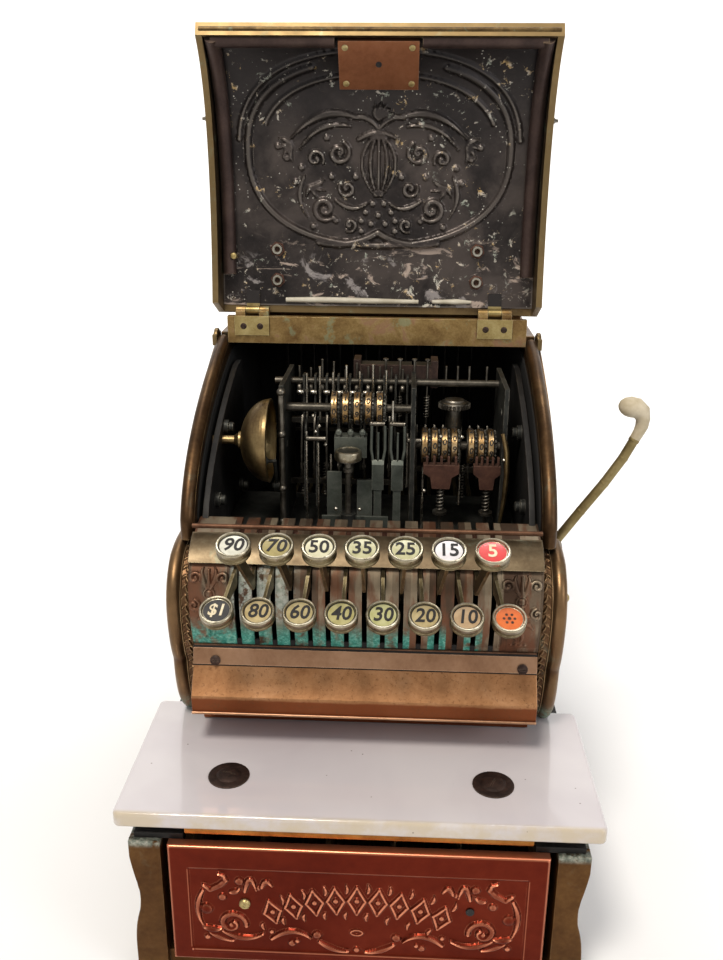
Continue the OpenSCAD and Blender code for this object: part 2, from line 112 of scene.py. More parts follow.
def oval(cx, cy, rx, ry, n=60):
    angles = [math.radians(360.0 * i / n) for i in range(n + 1)]
    return [(cx + rx * math.cos(a), cy + ry * math.sin(a)) for a in angles]


class Ornament:
    """Raised strokes on a flat pattern: each has points, a half width that tapers, and a height."""

    def __init__(self):
        self.strokes = []
        self.bold = 1.0

    def stroke(self, points, width=1.2, height=1.0, taper=0.45, mirror=False):
        sides = [1, -1] if mirror else [1]
        for side in sides:
            path = np.array([(side * p[0], p[1]) for p in points], float)
            count = len(path)
            fat = np.array([width * (1 - (1 - taper) * abs(2 * i / max(count - 1, 1) - 0.8) ** 1.6)
                            for i in range(count)])
            self.strokes.append((path, np.maximum(fat, width * 0.3) * self.bold, height))

    def dot(self, x, y, radius=1.4, height=1.0, mirror=False):
        self.stroke([(x, y), (x + 0.01, y)], radius, height, 1.0, mirror)

    def leaf(self, x, y, length, angle, width=1.6, height=0.9, mirror=False):
        a = math.radians(angle)
        bend = math.radians(angle + 28)
        points = [(x, y), (x + 0.55 * length * math.cos(a), y + 0.55 * length * math.sin(a)),
                  (x + length * math.cos(bend), y + length * math.sin(bend))]
        self.stroke(bezier_points(*points, n=6), width, height, 0.2, mirror)

    def scroll(self, x, y, radius, start=0, way=1, turns=1.3, width=1.2, height=1.0, mirror=False):
        self.stroke(spiral(x, y, radius, turns, start, way), width, height, 0.55, mirror)
        self.dot(x, y, radius * 0.17, height * 0.9, mirror)

    def heights(self, u, v):
        out = np.zeros_like(u)
        for path, fat, height in self.strokes:
            lo, hi = path.min(0) - fat.max(), path.max(0) + fat.max()
            near = (u > lo[0]) & (u < hi[0]) & (v > lo[1]) & (v < hi[1])
            if not near.any():
                continue
            pu, pv = u[near], v[near]
            best = np.zeros_like(pu)
            for a, b, wa, wb in zip(path[:-1], path[1:], fat[:-1], fat[1:]):
                d = b - a
                t = np.clip(((pu - a[0]) * d[0] + (pv - a[1]) * d[1]) / max(d @ d, 1e-9), 0, 1)
                dist = np.hypot(pu - a[0] - t * d[0], pv - a[1] - t * d[1])
                width = wa + (wb - wa) * t
                best = np.maximum(best, height * np.sqrt(np.clip(1 - (dist / width) ** 2, 0, 1)))
            out[near] = np.maximum(out[near], best)
        return out


# ---------------------------------------------------------------- mesh building

def axes_of(direction):
    """A unit vector along a direction and two across it."""
    axis = Vector(direction).normalized()
    across = axis.orthogonal().normalized()
    return axis, across, axis.cross(across)


def ring_faces(rings, sides):
    """Faces of the skin through equal rings of points."""
    faces = []
    for i in range(rings - 1):
        for k in range(sides):
            a, b = i * sides + k, i * sides + (k + 1) % sides
            faces.append((a, b, b + sides, a + sides))
    return faces


def end_faces(rings, sides):
    """The two faces that close such a skin."""
    return [tuple(reversed(range(sides))), tuple(range((rings - 1) * sides, rings * sides))]


class Solid:
    """Closed meshes gathered into one object, in millimetres."""

    def __init__(self):
        self.verts, self.faces = [], []

    def add(self, verts, faces):
        base = len(self.verts)
        self.verts += [tuple(v) for v in verts]
        self.faces += [tuple(base + i for i in f) for f in faces]
        return self

    def tube(self, points, radius, sides=10):
        """A round tube through points; radius is a number or one number per point."""
        points = [Vector(p) for p in points]
        radii = radius if isinstance(radius, (list, tuple)) else [radius] * len(points)
        before, after = points[:1] + points[:-1], points[1:] + points[-1:]
        tangents = [(b - a).normalized() for a, b in zip(before, after)]
        normal = tangents[0].orthogonal().normalized()
        verts = []
        for p, t, r in zip(points, tangents, radii):
            normal = (normal - t * normal.dot(t)).normalized()
            side = t.cross(normal)
            for k in range(sides):
                a = 2 * math.pi * k / sides
                verts.append(p + (normal * math.cos(a) + side * math.sin(a)) * r)
        return self.add(verts, ring_faces(len(points), sides) + end_faces(len(points), sides))

    def lathe(self, origin, axis, profile, sides=32):
        """A turned shape: profile holds (radius, height) pairs along the axis, from end to end.

        A profile that ends where it starts makes a hollow ring.
        """
        axis, across, up = axes_of(axis)
        verts = []
        for r, h in profile:
            for k in range(sides):
                a = 2 * math.pi * k / sides
                out = across * math.cos(a) + up * math.sin(a)
                verts.append(Vector(origin) + axis * h + out * max(r, LEAST_RADIUS))
        faces = ring_faces(len(profile), sides)
        if profile[0] == profile[-1]:
            ring = (len(profile) - 1) * sides
            verts = verts[:ring]
            faces = [tuple(i % ring for i in f) for f in faces]
        else:
            faces += end_faces(len(profile), sides)
        return self.add(verts, faces)

    def prism(self, outline, spot, depth):
        """An outline of (a, b) points given depth; spot(a, b, h) gives the point in space."""
        n = len(outline)
        verts = [spot(a, b, 0) for a, b in outline] + [spot(a, b, depth) for a, b in outline]
        faces = [(i, (i + 1) % n, n + (i + 1) % n, n + i) for i in range(n)]
        faces += [tuple(reversed(range(n))), tuple(range(n, 2 * n))]
        return self.add(verts, faces)

    def box(self, x0, x1, y0, y1, z0, z1):
        return self.prism([(x0, y0), (x1, y0), (x1, y1), (x0, y1)], lambda a, b, h: (a, b, z0 + h), z1 - z0)

    def plate_x(self, outline, x0, x1):
        """A (y, z) outline drawn out along X."""
        return self.prism(outline, lambda a, b, h: (x0 + h, a, b), x1 - x0)

    def ball(self, centre, radius, squash=1.0, sides=16):
        steps = 8
        profile = [(radius * math.sin(math.pi * i / steps), -radius * squash * math.cos(math.pi * i / steps))
                   for i in range(steps + 1)]
        return self.lathe(centre, (0, 0, 1), profile, sides)

    def coil(self, p, q, radius, wire, turns):
        """A spring from p to q."""
        per_turn = 12
        p, q = Vector(p), Vector(q)
        _, across, up = axes_of(q - p)
        count = int(turns * per_turn)
        points = []
        for i in range(count + 1):
            a = 2 * math.pi * i / per_turn
            points.append(p + (q - p) * (i / count) + (across * math.cos(a) + up * math.sin(a)) * radius)
        return self.tube(points, wire, 6)

    def screw(self, centre, axis, radius, height=1.4):
        """A domed screw head with a slot between two low ridges, turned at random."""
        axis, across, _ = axes_of(axis)
        profile = [(radius, 0), (radius, height * 0.45), (radius * 0.8, height * 0.85),
                   (radius * 0.35, height)]
        self.lathe(centre, axis, profile, 24)
        turn = Matrix.Rotation(random.uniform(0, math.pi), 3, axis)
        along = (turn @ across) * radius * 0.86
        side = axis.cross(along).normalized() * radius * 0.13
        top = Vector(centre) + axis * height
        low = Vector(centre) + axis * height * 0.55
        for sign in (1, -1):
            edge = side * sign * 1.5
            ring = [-along + edge, along + edge, along + edge + side * sign, -along + edge + side * sign]
            self.add([low + p for p in ring] + [top + p for p in ring],
                     [(0, 1, 2, 3), (7, 6, 5, 4), (0, 4, 5, 1), (1, 5, 6, 2), (2, 6, 7, 3), (3, 7, 4, 0)])
        return self


def smooth_by_angle(mesh, degrees=32):
    mesh.polygons.foreach_set("use_smooth", [True] * len(mesh.polygons))
    mesh.set_sharp_from_angle(angle=math.radians(degrees))


def place(obj, material, body, replaces=()):
    """Puts a piece in the scene with its material, on a body, and in place of CAD nodes."""
    obj.data.materials.clear()
    obj.data.materials.append(material)
    if obj.name not in bpy.context.scene.collection.objects:
        bpy.context.scene.collection.objects.link(obj)
    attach(obj, body)
    if replaces:
        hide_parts(*replaces)
    return obj


def make(name, solid, material, body, bevel=0.0, angle=32, replaces=()):
    """Turns a Solid into a Blender piece, with its sharp edges rounded where bevel says."""
    mesh = bpy.data.meshes.new(name)
    mesh.from_pydata([[c * MM for c in v] for v in solid.verts], [], solid.faces)
    bm = bmesh.new()
    bm.from_mesh(mesh)
    bmesh.ops.delete(bm, geom=[v for v in bm.verts if not v.link_faces], context="VERTS")
    bmesh.ops.recalc_face_normals(bm, faces=bm.faces)
    if bevel:
        round_edges(bm, bevel)
    bm.to_mesh(mesh)
    bm.free()
    smooth_by_angle(mesh, angle)
    obj = place(bpy.data.objects.new(name, mesh), material, body, replaces)
    if bevel:
        weigh_normals(obj)
    return obj


def weigh_normals(obj):
    """Lets the large faces keep their flat look beside rounded edges."""
    modifier = obj.modifiers.new("weighted", "WEIGHTED_NORMAL")
    modifier.keep_sharp = True


def round_edges(bm, width, segments=2):
    edges = [e for e in bm.edges if len(e.link_faces) == 2 and e.calc_face_angle(0) > SHARP]
    bmesh.ops.bevel(bm, geom=edges, offset=width * MM, segments=segments, profile=0.5,
                    affect="EDGES", clamp_overlap=True)


def rounded(node, width, material, segments=2):
    """A copy of a CAD node with its edges rounded, which stands for the node."""
    mesh = CAD[node].data.copy()
    bm = bmesh.new()
    bm.from_mesh(mesh)
    bmesh.ops.remove_doubles(bm, verts=bm.verts, dist=1e-6)
    bmesh.ops.dissolve_limit(bm, angle_limit=math.radians(0.6), verts=bm.verts, edges=bm.edges)
    round_edges(bm, width, segments)
    bmesh.ops.triangulate(bm, faces=[f for f in bm.faces if len(f.verts) > 4])
    bm.to_mesh(mesh)
    bm.free()
    smooth_by_angle(mesh)
    obj = place(bpy.data.objects.new("round_" + node, mesh), material, BODY_OF[node], (node,))
    weigh_normals(obj)
    return obj


def dress(node, material):
    """Gives a CAD node that stays as it is its material."""
    mesh = CAD[node].data
    mesh.materials.clear()
    mesh.materials.append(material)


def relief(name, spot, nu, nv, ornament, material, body, flip=False, thick=0.6, extra=None,
           gain=1.0, plain_back=False):
    """A thin sheet whose front carries an ornament.

    spot(i, j) gives the flat pattern's (u, v), the point in space and the outward direction for
    the grid's fractions i and j. The back and the edges close the sheet, and a plain back is one
    flat face.
    """
    flat, points, normals = [], [], []
    for j in range(nv):
        for i in range(nu):
            uv, p, n = spot(i / (nu - 1), j / (nv - 1))
            flat.append(uv)
            points.append(p)
            normals.append(n)
    flat, points, normals = np.array(flat, float), np.array(points, float), np.array(normals, float)
    high = ornament.heights(flat[:, 0], flat[:, 1]) * gain
    if extra is not None:
        high = high + extra(flat[:, 0], flat[:, 1])
    front = points + normals * high[:, None]
    back = points - normals * thick
    faces = []
    count = nu * nv
    for j in range(nv - 1):
        for i in range(nu - 1):
            a = j * nu + i
            quad = (a, a + 1, a + 1 + nu, a + nu)
            faces.append(quad[::-1] if flip else quad)
            if not plain_back:
                faces.append(tuple(count + k for k in (quad if flip else quad[::-1])))
    edge = (list(range(nu)) + [j * nu + nu - 1 for j in range(1, nv)]
            + [(nv - 1) * nu + i for i in range(nu - 2, -1, -1)] + [j * nu for j in range(nv - 2, 0, -1)])
    for a, b in zip(edge, edge[1:] + edge[:1]):
        faces.append((b, a, count + a, count + b))
    if plain_back:
        faces.append(tuple(count + k for k in edge))
    return make(name, Solid().add(np.concatenate([front, back]), faces), material, body, angle=50)


# ---------------------------------------------------------------- materials

class Finish:
    """Builds one procedural material."""

    def __init__(self, name):
        self.material = bpy.data.materials.new(name)
        self.material.use_nodes = True
        self.tree = self.material.node_tree
        self.shader = self.tree.nodes["Principled BSDF"]
        self.coords = self.node("ShaderNodeTexCoord").outputs["Object"]
        self.split = None

    def node(self, kind, **settings):
        made = self.tree.nodes.new(kind)
        for key, value in settings.items():
            setattr(made, key, value)
        return made

    def put(self, value, socket):
        if isinstance(value, bpy.types.NodeSocket):
            self.tree.links.new(value, socket)
        elif isinstance(value, (tuple, list)) and len(value) == 3 and socket.type == "RGBA":
            socket.default_value = (*value, 1.0)
        else:
            socket.default_value = value

    def set(self, **values):
        names = {"color": "Base Color", "metallic": "Metallic", "rough": "Roughness", "normal": "Normal",
                 "coat": "Coat Weight", "coat_rough": "Coat Roughness", "ior": "IOR",
                 "transmission": "Transmission Weight"}
        for key, value in values.items():
            self.put(value, self.shader.inputs[names[key]])
        return self

    def math(self, op, a, b=0.0, clamp=False):
        made = self.node("ShaderNodeMath", operation=op, use_clamp=clamp)
        self.put(a, made.inputs[0])
        self.put(b, made.inputs[1])
        return made.outputs[0]

    def times(self, a, b, clamp=False):
        return self.math("MULTIPLY", a, b, clamp)

    def plus(self, a, b, clamp=False):
        return self.math("ADD", a, b, clamp)

    def minus(self, a, b, clamp=False):
        return self.math("SUBTRACT", a, b, clamp)

    def axis(self, letter):
        if self.split is None:
            self.split = self.node("ShaderNodeSeparateXYZ")
            self.put(self.coords, self.split.inputs[0])
        return self.split.outputs[letter]

    def band(self, value, low, high):
        """0 below low, 1 above high, smooth between."""
        made = self.node("ShaderNodeMapRange", interpolation_type="SMOOTHSTEP")
        self.put(value, made.inputs["Value"])
        made.inputs["From Min"].default_value = low
        made.inputs["From Max"].default_value = high
        return made.outputs["Result"]

    def stretched(self, scale):
        made = self.node("ShaderNodeMapping")
        self.put(self.coords, made.inputs["Vector"])
        made.inputs["Scale"].default_value = scale
        return made.outputs["Vector"]

    def noise(self, scale, detail=5.0, rough=0.6, twist=0.0, coords=None):
        made = self.node("ShaderNodeTexNoise")
        self.put(coords or self.coords, made.inputs["Vector"])
        made.inputs["Scale"].default_value = scale
        made.inputs["Detail"].default_value = detail
        made.inputs["Roughness"].default_value = rough
        made.inputs["Distortion"].default_value = twist
        return made.outputs["Fac"]

    def spots(self, scale, size):
        """1 inside small scattered spots."""
        made = self.node("ShaderNodeTexVoronoi")
        self.put(self.coords, made.inputs["Vector"])
        made.inputs["Scale"].default_value = scale
        return self.minus(1.0, self.band(made.outputs["Distance"], size * 0.5, size))

    def ramp(self, value, stops):
        made = self.node("ShaderNodeValToRGB")
        self.put(value, made.inputs["Fac"])
        elements = made.color_ramp.elements
        while len(elements) < len(stops):
            elements.new(0.5)
        for element, (spot, color) in zip(elements, stops):
            element.position = spot
            element.color = (*color, 1.0)
        return made.outputs["Color"]

    def mix(self, share, a, b):
        made = self.node("ShaderNodeMix", data_type="RGBA")
        self.put(share, made.inputs["Factor"])
        self.put(a, made.inputs["A"])
        self.put(b, made.inputs["B"])
        return made.outputs["Result"]

    def cavity(self, distance):
        """1 in corners and hollows, 0 on open faces."""
        made = self.node("ShaderNodeAmbientOcclusion", samples=4)
        made.inputs["Distance"].default_value = distance
        return self.minus(1.0, made.outputs["AO"], clamp=True)

    def edges(self, radius):
        """1 along sharp edges, 0 on flat faces."""
        bevel = self.node("ShaderNodeBevel", samples=4)
        bevel.inputs["Radius"].default_value = radius
        plain = self.node("ShaderNodeNewGeometry").outputs["Normal"]
        dot = self.node("ShaderNodeVectorMath", operation="DOT_PRODUCT")
        self.put(bevel.outputs["Normal"], dot.inputs[0])
        self.put(plain, dot.inputs[1])
        return self.band(self.minus(1.0, dot.outputs["Value"]), 0.02, 0.16)

    def crests(self):
        """1 on the crests of a finely meshed relief."""
        return self.band(self.node("ShaderNodeNewGeometry").outputs["Pointiness"], 0.51, 0.56)

    def bump(self, height, strength=0.3, distance=0.0004):
        made = self.node("ShaderNodeBump")
        self.put(height, made.inputs["Height"])
        made.inputs["Strength"].default_value = strength
        made.inputs["Distance"].default_value = distance
        return made.outputs["Normal"]


def old_metal(name, dark, middle, light, worn, rough=(0.32, 0.62), patch=22.0, wear=0.8, grime_and_shade=0.7,
              grime_and_shade_color=(0.025, 0.018, 0.012), verdigris=0.0, pits=0.25, metallic=0.9, crest_wear_and_highlight=0.0,
              build=None):
    """Aged plated metal: mottled patina, bright worn edges, green bloom, hollows darkened as soiling and as
    painted shade from ambient occlusion, and relief ridge tops given the worn colour partly as wear and
    partly as painted highlight.
    """
    f = Finish(name)
    broad = f.noise(patch, 6, 0.62, 0.6)
    fine = f.noise(patch * 14, 5, 0.65)
    tone = f.plus(f.times(broad, 0.75), f.times(fine, 0.25))
    color = f.ramp(tone, [(0.32, dark), (0.5, middle), (0.68, light)])
    edge = f.times(f.edges(0.0009), f.band(f.noise(patch * 5, 4), 0.34, 0.6))
    color = f.mix(f.times(edge, wear), color, worn)
    # Ridge tops of a fine relief take the worn colour: partly rubbed wear, partly painted highlight.
    if crest_wear_and_highlight:
        color = f.mix(f.times(f.crests(), crest_wear_and_highlight), color, worn)
    # Ambient occlusion darkens the colour in hollows: partly soiling, partly painted shade.
    hollow = f.band(f.cavity(0.006), 0.25, 0.85)
    color = f.mix(f.times(hollow, grime_and_shade), color, grime_and_shade_color)
    metal_share = f.minus(metallic, f.times(hollow, grime_and_shade * 0.6), clamp=True)
    if verdigris:
        patches = f.band(f.noise(patch * 2.3, 7, 0.7, 0.8), 0.56, 0.68)
        bloom = f.times(patches, verdigris, clamp=True)
        bloom = f.times(bloom, f.plus(0.35, hollow, clamp=True))
        green = f.ramp(f.noise(260, 4), [(0.35, (0.05, 0.14, 0.10)), (0.65, (0.22, 0.36, 0.27))])
        color = f.mix(bloom, color, green)
        metal_share = f.minus(metal_share, bloom, clamp=True)
    if build:
        color, metal_share = build(f, color, metal_share)
    spread = (rough[1] - rough[0]) * 1.6
    roughness = f.plus(rough[0], f.times(f.noise(patch * 3, 5), spread))
    scratches = f.noise(90, 4, 0.7, coords=f.stretched((1.0, 9.0, 1.0)))
    height = f.plus(f.times(fine, 0.6), f.times(scratches, 0.4))
    f.set(color=color, metallic=metal_share, rough=f.plus(roughness, f.times(hollow, 0.2)),
          normal=f.bump(height, pits, 0.0003))
    return f.material


def corroded_tops(f, color, metal):
    """Crumbly grey-green corrosion on the pillars' upper ends."""
    high = f.band(f.axis("Z"), 0.0945, 0.0985)
    share = f.times(high, f.band(f.noise(140, 6, 0.7), 0.36, 0.48))
    crust = f.ramp(f.noise(420, 4), [(0.3, (0.05, 0.06, 0.045)), (0.5, (0.16, 0.18, 0.14)),
                                     (0.7, (0.38, 0.37, 0.30))])
    return f.mix(share, color, crust), f.minus(metal, share, clamp=True)


def green_feet(f, color, metal):
    """Verdigris where the cheeks stand on the deck."""
    low = f.minus(1.0, f.band(f.axis("Z"), 0.127, 0.146))
    share = f.times(low, f.band(f.noise(150, 6, 0.7), 0.4, 0.56))
    bloom = f.ramp(f.noise(500, 4), [(0.35, (0.05, 0.20, 0.13)), (0.65, (0.30, 0.50, 0.38))])
    return f.mix(share, color, bloom), f.minus(metal, share, clamp=True)


def keyboard_wear(f, color, metal):
    """Turquoise verdigris at the strips' lower ends, white bloom at the upper left, coppery strips."""
    side = f.band(f.axis("X"), -0.095, 0.10)
    color = f.mix(f.band(strip_value(f, 3.3), 0.1, 1.2), color, (0.06, 0.032, 0.02))
    streaks = f.noise(46, 5, 0.6, coords=f.stretched((2.2, 0.6, 0.5)))
    copper = f.times(f.band(streaks, 0.47, 0.6), 0.8)
    color = f.mix(copper, color, (0.18, 0.075, 0.04))
    low = f.minus(1.0, f.band(f.axis("Z"), 0.196, 0.213))
    patches = f.band(f.noise(95, 7, 0.65), 0.34, 0.5)
    less = f.band(f.plus(strip_value(f, 9.7), f.times(f.minus(1.0, side), 0.9)), 0.55, 0.85)
    share = f.times(f.times(low, patches), less, clamp=True)
    turquoise = f.ramp(f.noise(520, 5, 0.7), [(0.3, (0.008, 0.085, 0.065)), (0.5, (0.03, 0.27, 0.21)),
                                              (0.68, (0.25, 0.55, 0.45))])
    color = f.mix(share, color, turquoise)
    left = f.minus(1.0, f.band(f.axis("X"), -0.052, -0.036))
    inner = f.band(f.axis("X"), -0.082, -0.078)
    tall = f.times(f.band(f.axis("Z"), 0.205, 0.214), f.minus(1.0, f.band(f.axis("Z"), 0.243, 0.25)))
    white = f.times(f.times(left, inner), f.times(tall, f.band(f.noise(120, 6, 0.7), 0.42, 0.52)))
    pale = f.ramp(f.noise(380, 4), [(0.35, (0.24, 0.30, 0.25)), (0.65, (0.52, 0.55, 0.49))])
    color = f.mix(f.times(white, 0.85), color, pale)
    return color, f.minus(metal, f.plus(share, white), clamp=True)


def kick_band(f, color, metal):
    """Darker red-brown lower band of the kick rail."""
    wavy = f.plus(f.axis("Z"), f.times(f.noise(45, 4), 0.003))
    low = f.minus(1.0, f.band(wavy, 0.1600, 0.1618))
    color = f.mix(f.times(low, 0.9), color, (0.21, 0.055, 0.018))
    specks = f.times(f.band(f.noise(520, 5, 0.7), 0.56, 0.64), 0.55)
    return f.mix(specks, color, (0.16, 0.07, 0.03)), metal


def lid_specks(f, color, metal):
    """Flaked black lining: grey patches, cream and yellow specks, more of them near the hinge; the lower part
    is greyer as a painted sheen and the upper part near black.
    """
    near_hinge = f.minus(1.0, f.band(f.axis("Z"), 0.40, 0.425))
    # Greyer towards the lower part and near black towards the upper: painted sheen over grey flaking patches.
    lower = f.minus(1.0, f.band(f.axis("Z"), 0.47, 0.505))
    grey_patches_and_sheen = f.times(f.band(f.noise(19, 6, 0.6, 0.4), 0.38, 0.62), f.plus(0.25, f.times(lower, 0.6)))
    color = f.mix(grey_patches_and_sheen, color, (0.085, 0.068, 0.060))
    upper = f.band(f.axis("Z"), 0.485, 0.535)
    color = f.mix(f.times(upper, 0.75), color, (0.012, 0.010, 0.011))
    flakes = f.band(f.noise(150, 8, 0.72, 0.5), 0.585, 0.62)
    clusters = f.band(f.noise(30, 4, 0.55), 0.5, 0.58)
    share = f.times(flakes, f.plus(f.times(clusters, 0.85), f.times(near_hinge, 0.5)), clamp=True)
    tint = f.ramp(f.noise(85, 3), [(0.36, (0.30, 0.33, 0.27)), (0.5, (0.52, 0.47, 0.40)),
                                   (0.62, (0.50, 0.33, 0.12))])
    color = f.mix(share, color, tint)
    dots = f.times(f.spots(300, 0.17), f.band(f.noise(42, 3), 0.52, 0.6))
    color = f.mix(dots, color, (0.55, 0.53, 0.47))
    scrape = f.band(f.noise(26, 7, 0.7, 1.2, f.stretched((1.0, 1.0, 2.6))), 0.56, 0.62)
    scrape = f.times(scrape, f.times(near_hinge, 0.8))
    color = f.mix(scrape, color, (0.42, 0.33, 0.27))
    low = f.minus(1.0, f.band(f.axis("Z"), 0.398, 0.412))
    pale = f.times(f.band(f.noise(48, 7, 0.68, 0.8), 0.56, 0.64), f.times(low, 0.7))
    color = f.mix(pale, color, (0.30, 0.27, 0.26))
    return color, f.minus(metal, f.plus(f.plus(share, scrape), pale), clamp=True)


def painted_leaf(f, color, metal):
    """The lid's black paint carried over the hinge leaves."""
    paint = f.times(f.band(f.axis("Z"), 0.3722, 0.3728), f.band(f.noise(110, 6, 0.7), 0.28, 0.36))
    bare = f.minus(metal, f.times(paint, 0.5))
    return f.mix(paint, color, (0.022, 0.018, 0.017)), bare


def strip_value(f, shift):
    """A number from 0 to 1 that differs from one keyboard strip to the next."""
    strip = f.math("FLOOR", f.times(f.plus(f.axis("X"), 0.0825), 1000.0 / KEY_PITCH))
    made = f.node("ShaderNodeTexWhiteNoise", noise_dimensions="1D")
    f.put(f.plus(strip, shift), made.inputs["W"])
    return made.outputs["Value"]


def bar_mottle(f, color, metal):
    """Pink and green stains on the yellow hinge bar."""
    stains = f.band(f.noise(48, 6, 0.65, 0.7), 0.52, 0.62)
    color = f.mix(f.times(stains, 0.7), color, (0.33, 0.17, 0.11))
    green = f.times(f.band(f.noise(70, 6, 0.7), 0.58, 0.66), 0.6)
    return f.mix(green, color, (0.22, 0.26, 0.15)), f.minus(metal, f.times(green, 0.6))


def milk_glass():
    """White glass, faintly smoky, with a yellowed front edge and a few dark specks."""
    f = Finish("milk_glass")
    smoky = f.noise(9, 4, 0.5, 0.5)
    color = f.ramp(smoky, [(0.35, (0.54, 0.50, 0.525)), (0.6, (0.62, 0.585, 0.60))])
    stain = f.times(f.minus(1.0, f.band(f.axis("Y"), -0.1995, -0.196)), f.band(f.noise(35, 5, 0.6), 0.3, 0.6))
    color = f.mix(f.times(stain, 0.75), color, (0.52, 0.42, 0.26))
    color = f.mix(f.times(f.spots(70, 0.045), 0.8), color, (0.16, 0.13, 0.11))
    f.set(color=color, rough=f.plus(0.07, f.times(f.noise(60, 4), 0.14)), coat=0.5,
          coat_rough=0.05, normal=f.bump(f.noise(14, 2), 0.05, 0.001))
    return f.material


def plain_finish(name, color, other, rough, scale=120.0, bump=0.08, coat=0.0):
    """Paint, enamel, wood filler or moulded material with a little variation, darker in its hollows as
    soiling and as painted shade from ambient occlusion.
    """
    f = Finish(name)
    tone = f.noise(scale, 5, 0.6)
    # Ambient occlusion darkens the hollows: partly soiling, partly painted shade.
    dirt_and_shade = f.band(f.cavity(0.004), 0.3, 0.9)
    shade = f.mix(f.times(dirt_and_shade, 0.45), f.ramp(tone, [(0.35, color), (0.65, other)]),
                  tuple(c * 0.3 for c in color))
    f.set(color=shade, metallic=0.0, rough=f.plus(rough, f.times(tone, 0.2)),
          normal=f.bump(f.noise(scale * 5, 4), bump, 0.0002), coat=coat, coat_rough=0.12)
    return f.material


def flag_finish():
    """White enamel on a flag's plate, dull steel on its rod."""
    f = Finish("flag_enamel")
    plate = f.band(f.axis("Z"), 0.3735, 0.3738)
    tone = f.noise(60, 4)
    f.set(color=f.mix(plate, f.ramp(tone, [(0.35, (0.035, 0.033, 0.03)), (0.65, (0.09, 0.085, 0.078))]),
                      f.ramp(tone, [(0.35, (0.62, 0.59, 0.50)), (0.65, (0.76, 0.74, 0.66))])),
          metallic=f.minus(1.0, plate), rough=f.minus(0.45, f.times(plate, 0.2)),
          normal=f.bump(f.noise(300, 3), 0.06, 0.0002))
    return f.material


def oak():
    """Varnished oak with its grain along Y."""
    f = Finish("tray_oak")
    grain = f.noise(18, 8, 0.62, 1.6, f.stretched((14.0, 0.8, 14.0)))
    pores = f.noise(160, 4, 0.6, coords=f.stretched((6.0, 0.5, 6.0)))
    color = f.ramp(grain, [(0.34, (0.12, 0.06, 0.028)), (0.5, (0.26, 0.145, 0.07)),
                           (0.66, (0.38, 0.235, 0.12))])
    color = f.mix(f.times(f.band(pores, 0.58, 0.66), 0.6), color, (0.07, 0.035, 0.018))
    f.set(color=color, rough=f.plus(0.34, f.times(grain, 0.25)),
          normal=f.bump(pores, 0.3, 0.0003), coat=0.25, coat_rough=0.25)
    return f.material


def clear_glass():
    """Clear old window glass, a little uneven."""
    f = Finish("window_glass")
    f.set(color=(0.86, 0.92, 0.90), rough=f.times(f.noise(40, 4), 0.09),
          transmission=1.0, ior=1.47, normal=f.bump(f.noise(9, 2), 0.03, 0.001))
    return f.material


BRASS = old_metal("aged_brass", (0.045, 0.021, 0.010), (0.105, 0.053, 0.025), (0.195, 0.11, 0.053),
                  (0.42, 0.27, 0.13), verdigris=0.35, rough=(0.24, 0.44), crest_wear_and_highlight=0.5, build=green_feet)
PANEL = old_metal("panel_brass", (0.04, 0.02, 0.009), (0.10, 0.054, 0.024), (0.21, 0.125, 0.055),
                  (0.44, 0.29, 0.13), verdigris=0.3, rough=(0.26, 0.46))
PILLAR = old_metal("pillar_brass", (0.055, 0.022, 0.007), (0.105, 0.048, 0.015), (0.17, 0.085, 0.027),
                   (0.34, 0.22, 0.1), rough=(0.3, 0.5), build=corroded_tops, verdigris=0.15)
SHELL = old_metal("shell_brass", (0.03, 0.017, 0.009), (0.085, 0.052, 0.024), (0.19, 0.125, 0.058),
                  (0.26, 0.185, 0.085), rough=(0.28, 0.5), verdigris=0.55, crest_wear_and_highlight=0.6)
# Near-black for sheets and strips that stand for shade: inside the cabinet, under the kick rail's flange and
# at the slots' feet; painted shade.
SHADE_BLACK = plain_finish("painted_shade_black", (0.004, 0.004, 0.004), (0.010, 0.009, 0.008), 0.8, scale=60)
IRON = old_metal("black_iron", (0.008, 0.008, 0.008), (0.018, 0.017, 0.016), (0.036, 0.033, 0.030),
                 (0.16, 0.14, 0.12), rough=(0.4, 0.65), metallic=0.55, wear=0.55)
MECH = old_metal("mechanism_iron", (0.012, 0.013, 0.012), (0.035, 0.036, 0.032), (0.075, 0.074, 0.064),
                 (0.30, 0.28, 0.23), rough=(0.34, 0.6), metallic=0.75, patch=60)
GREEN_IRON = old_metal("green_grey_iron", (0.045, 0.052, 0.042), (0.085, 0.095, 0.08), (0.14, 0.15, 0.125),
                       (0.3, 0.3, 0.25), rough=(0.35, 0.55), metallic=0.6, patch=70)
OILY = old_metal("dark_oily_steel", (0.03, 0.027, 0.022), (0.075, 0.068, 0.055), (0.15, 0.135, 0.11),
                 (0.34, 0.31, 0.26), rough=(0.28, 0.5), patch=80, metallic=0.95)
BRIGHT = old_metal("polished_steel", (0.25, 0.22, 0.17), (0.5, 0.46, 0.38), (0.75, 0.71, 0.62),
                   (0.9, 0.86, 0.76), rough=(0.12, 0.3), patch=90, metallic=1.0, grime_and_shade=0.4)
STEEL = old_metal("oily_steel", (0.06, 0.053, 0.042), (0.15, 0.135, 0.11), (0.30, 0.275, 0.23),
                  (0.62, 0.58, 0.5), rough=(0.22, 0.45), patch=80, metallic=1.0)
WHEEL = old_metal("wheel_brass", (0.15, 0.08, 0.03), (0.42, 0.27, 0.12), (0.78, 0.57, 0.32),
                  (0.88, 0.72, 0.48), rough=(0.16, 0.38), patch=110, metallic=1.0)
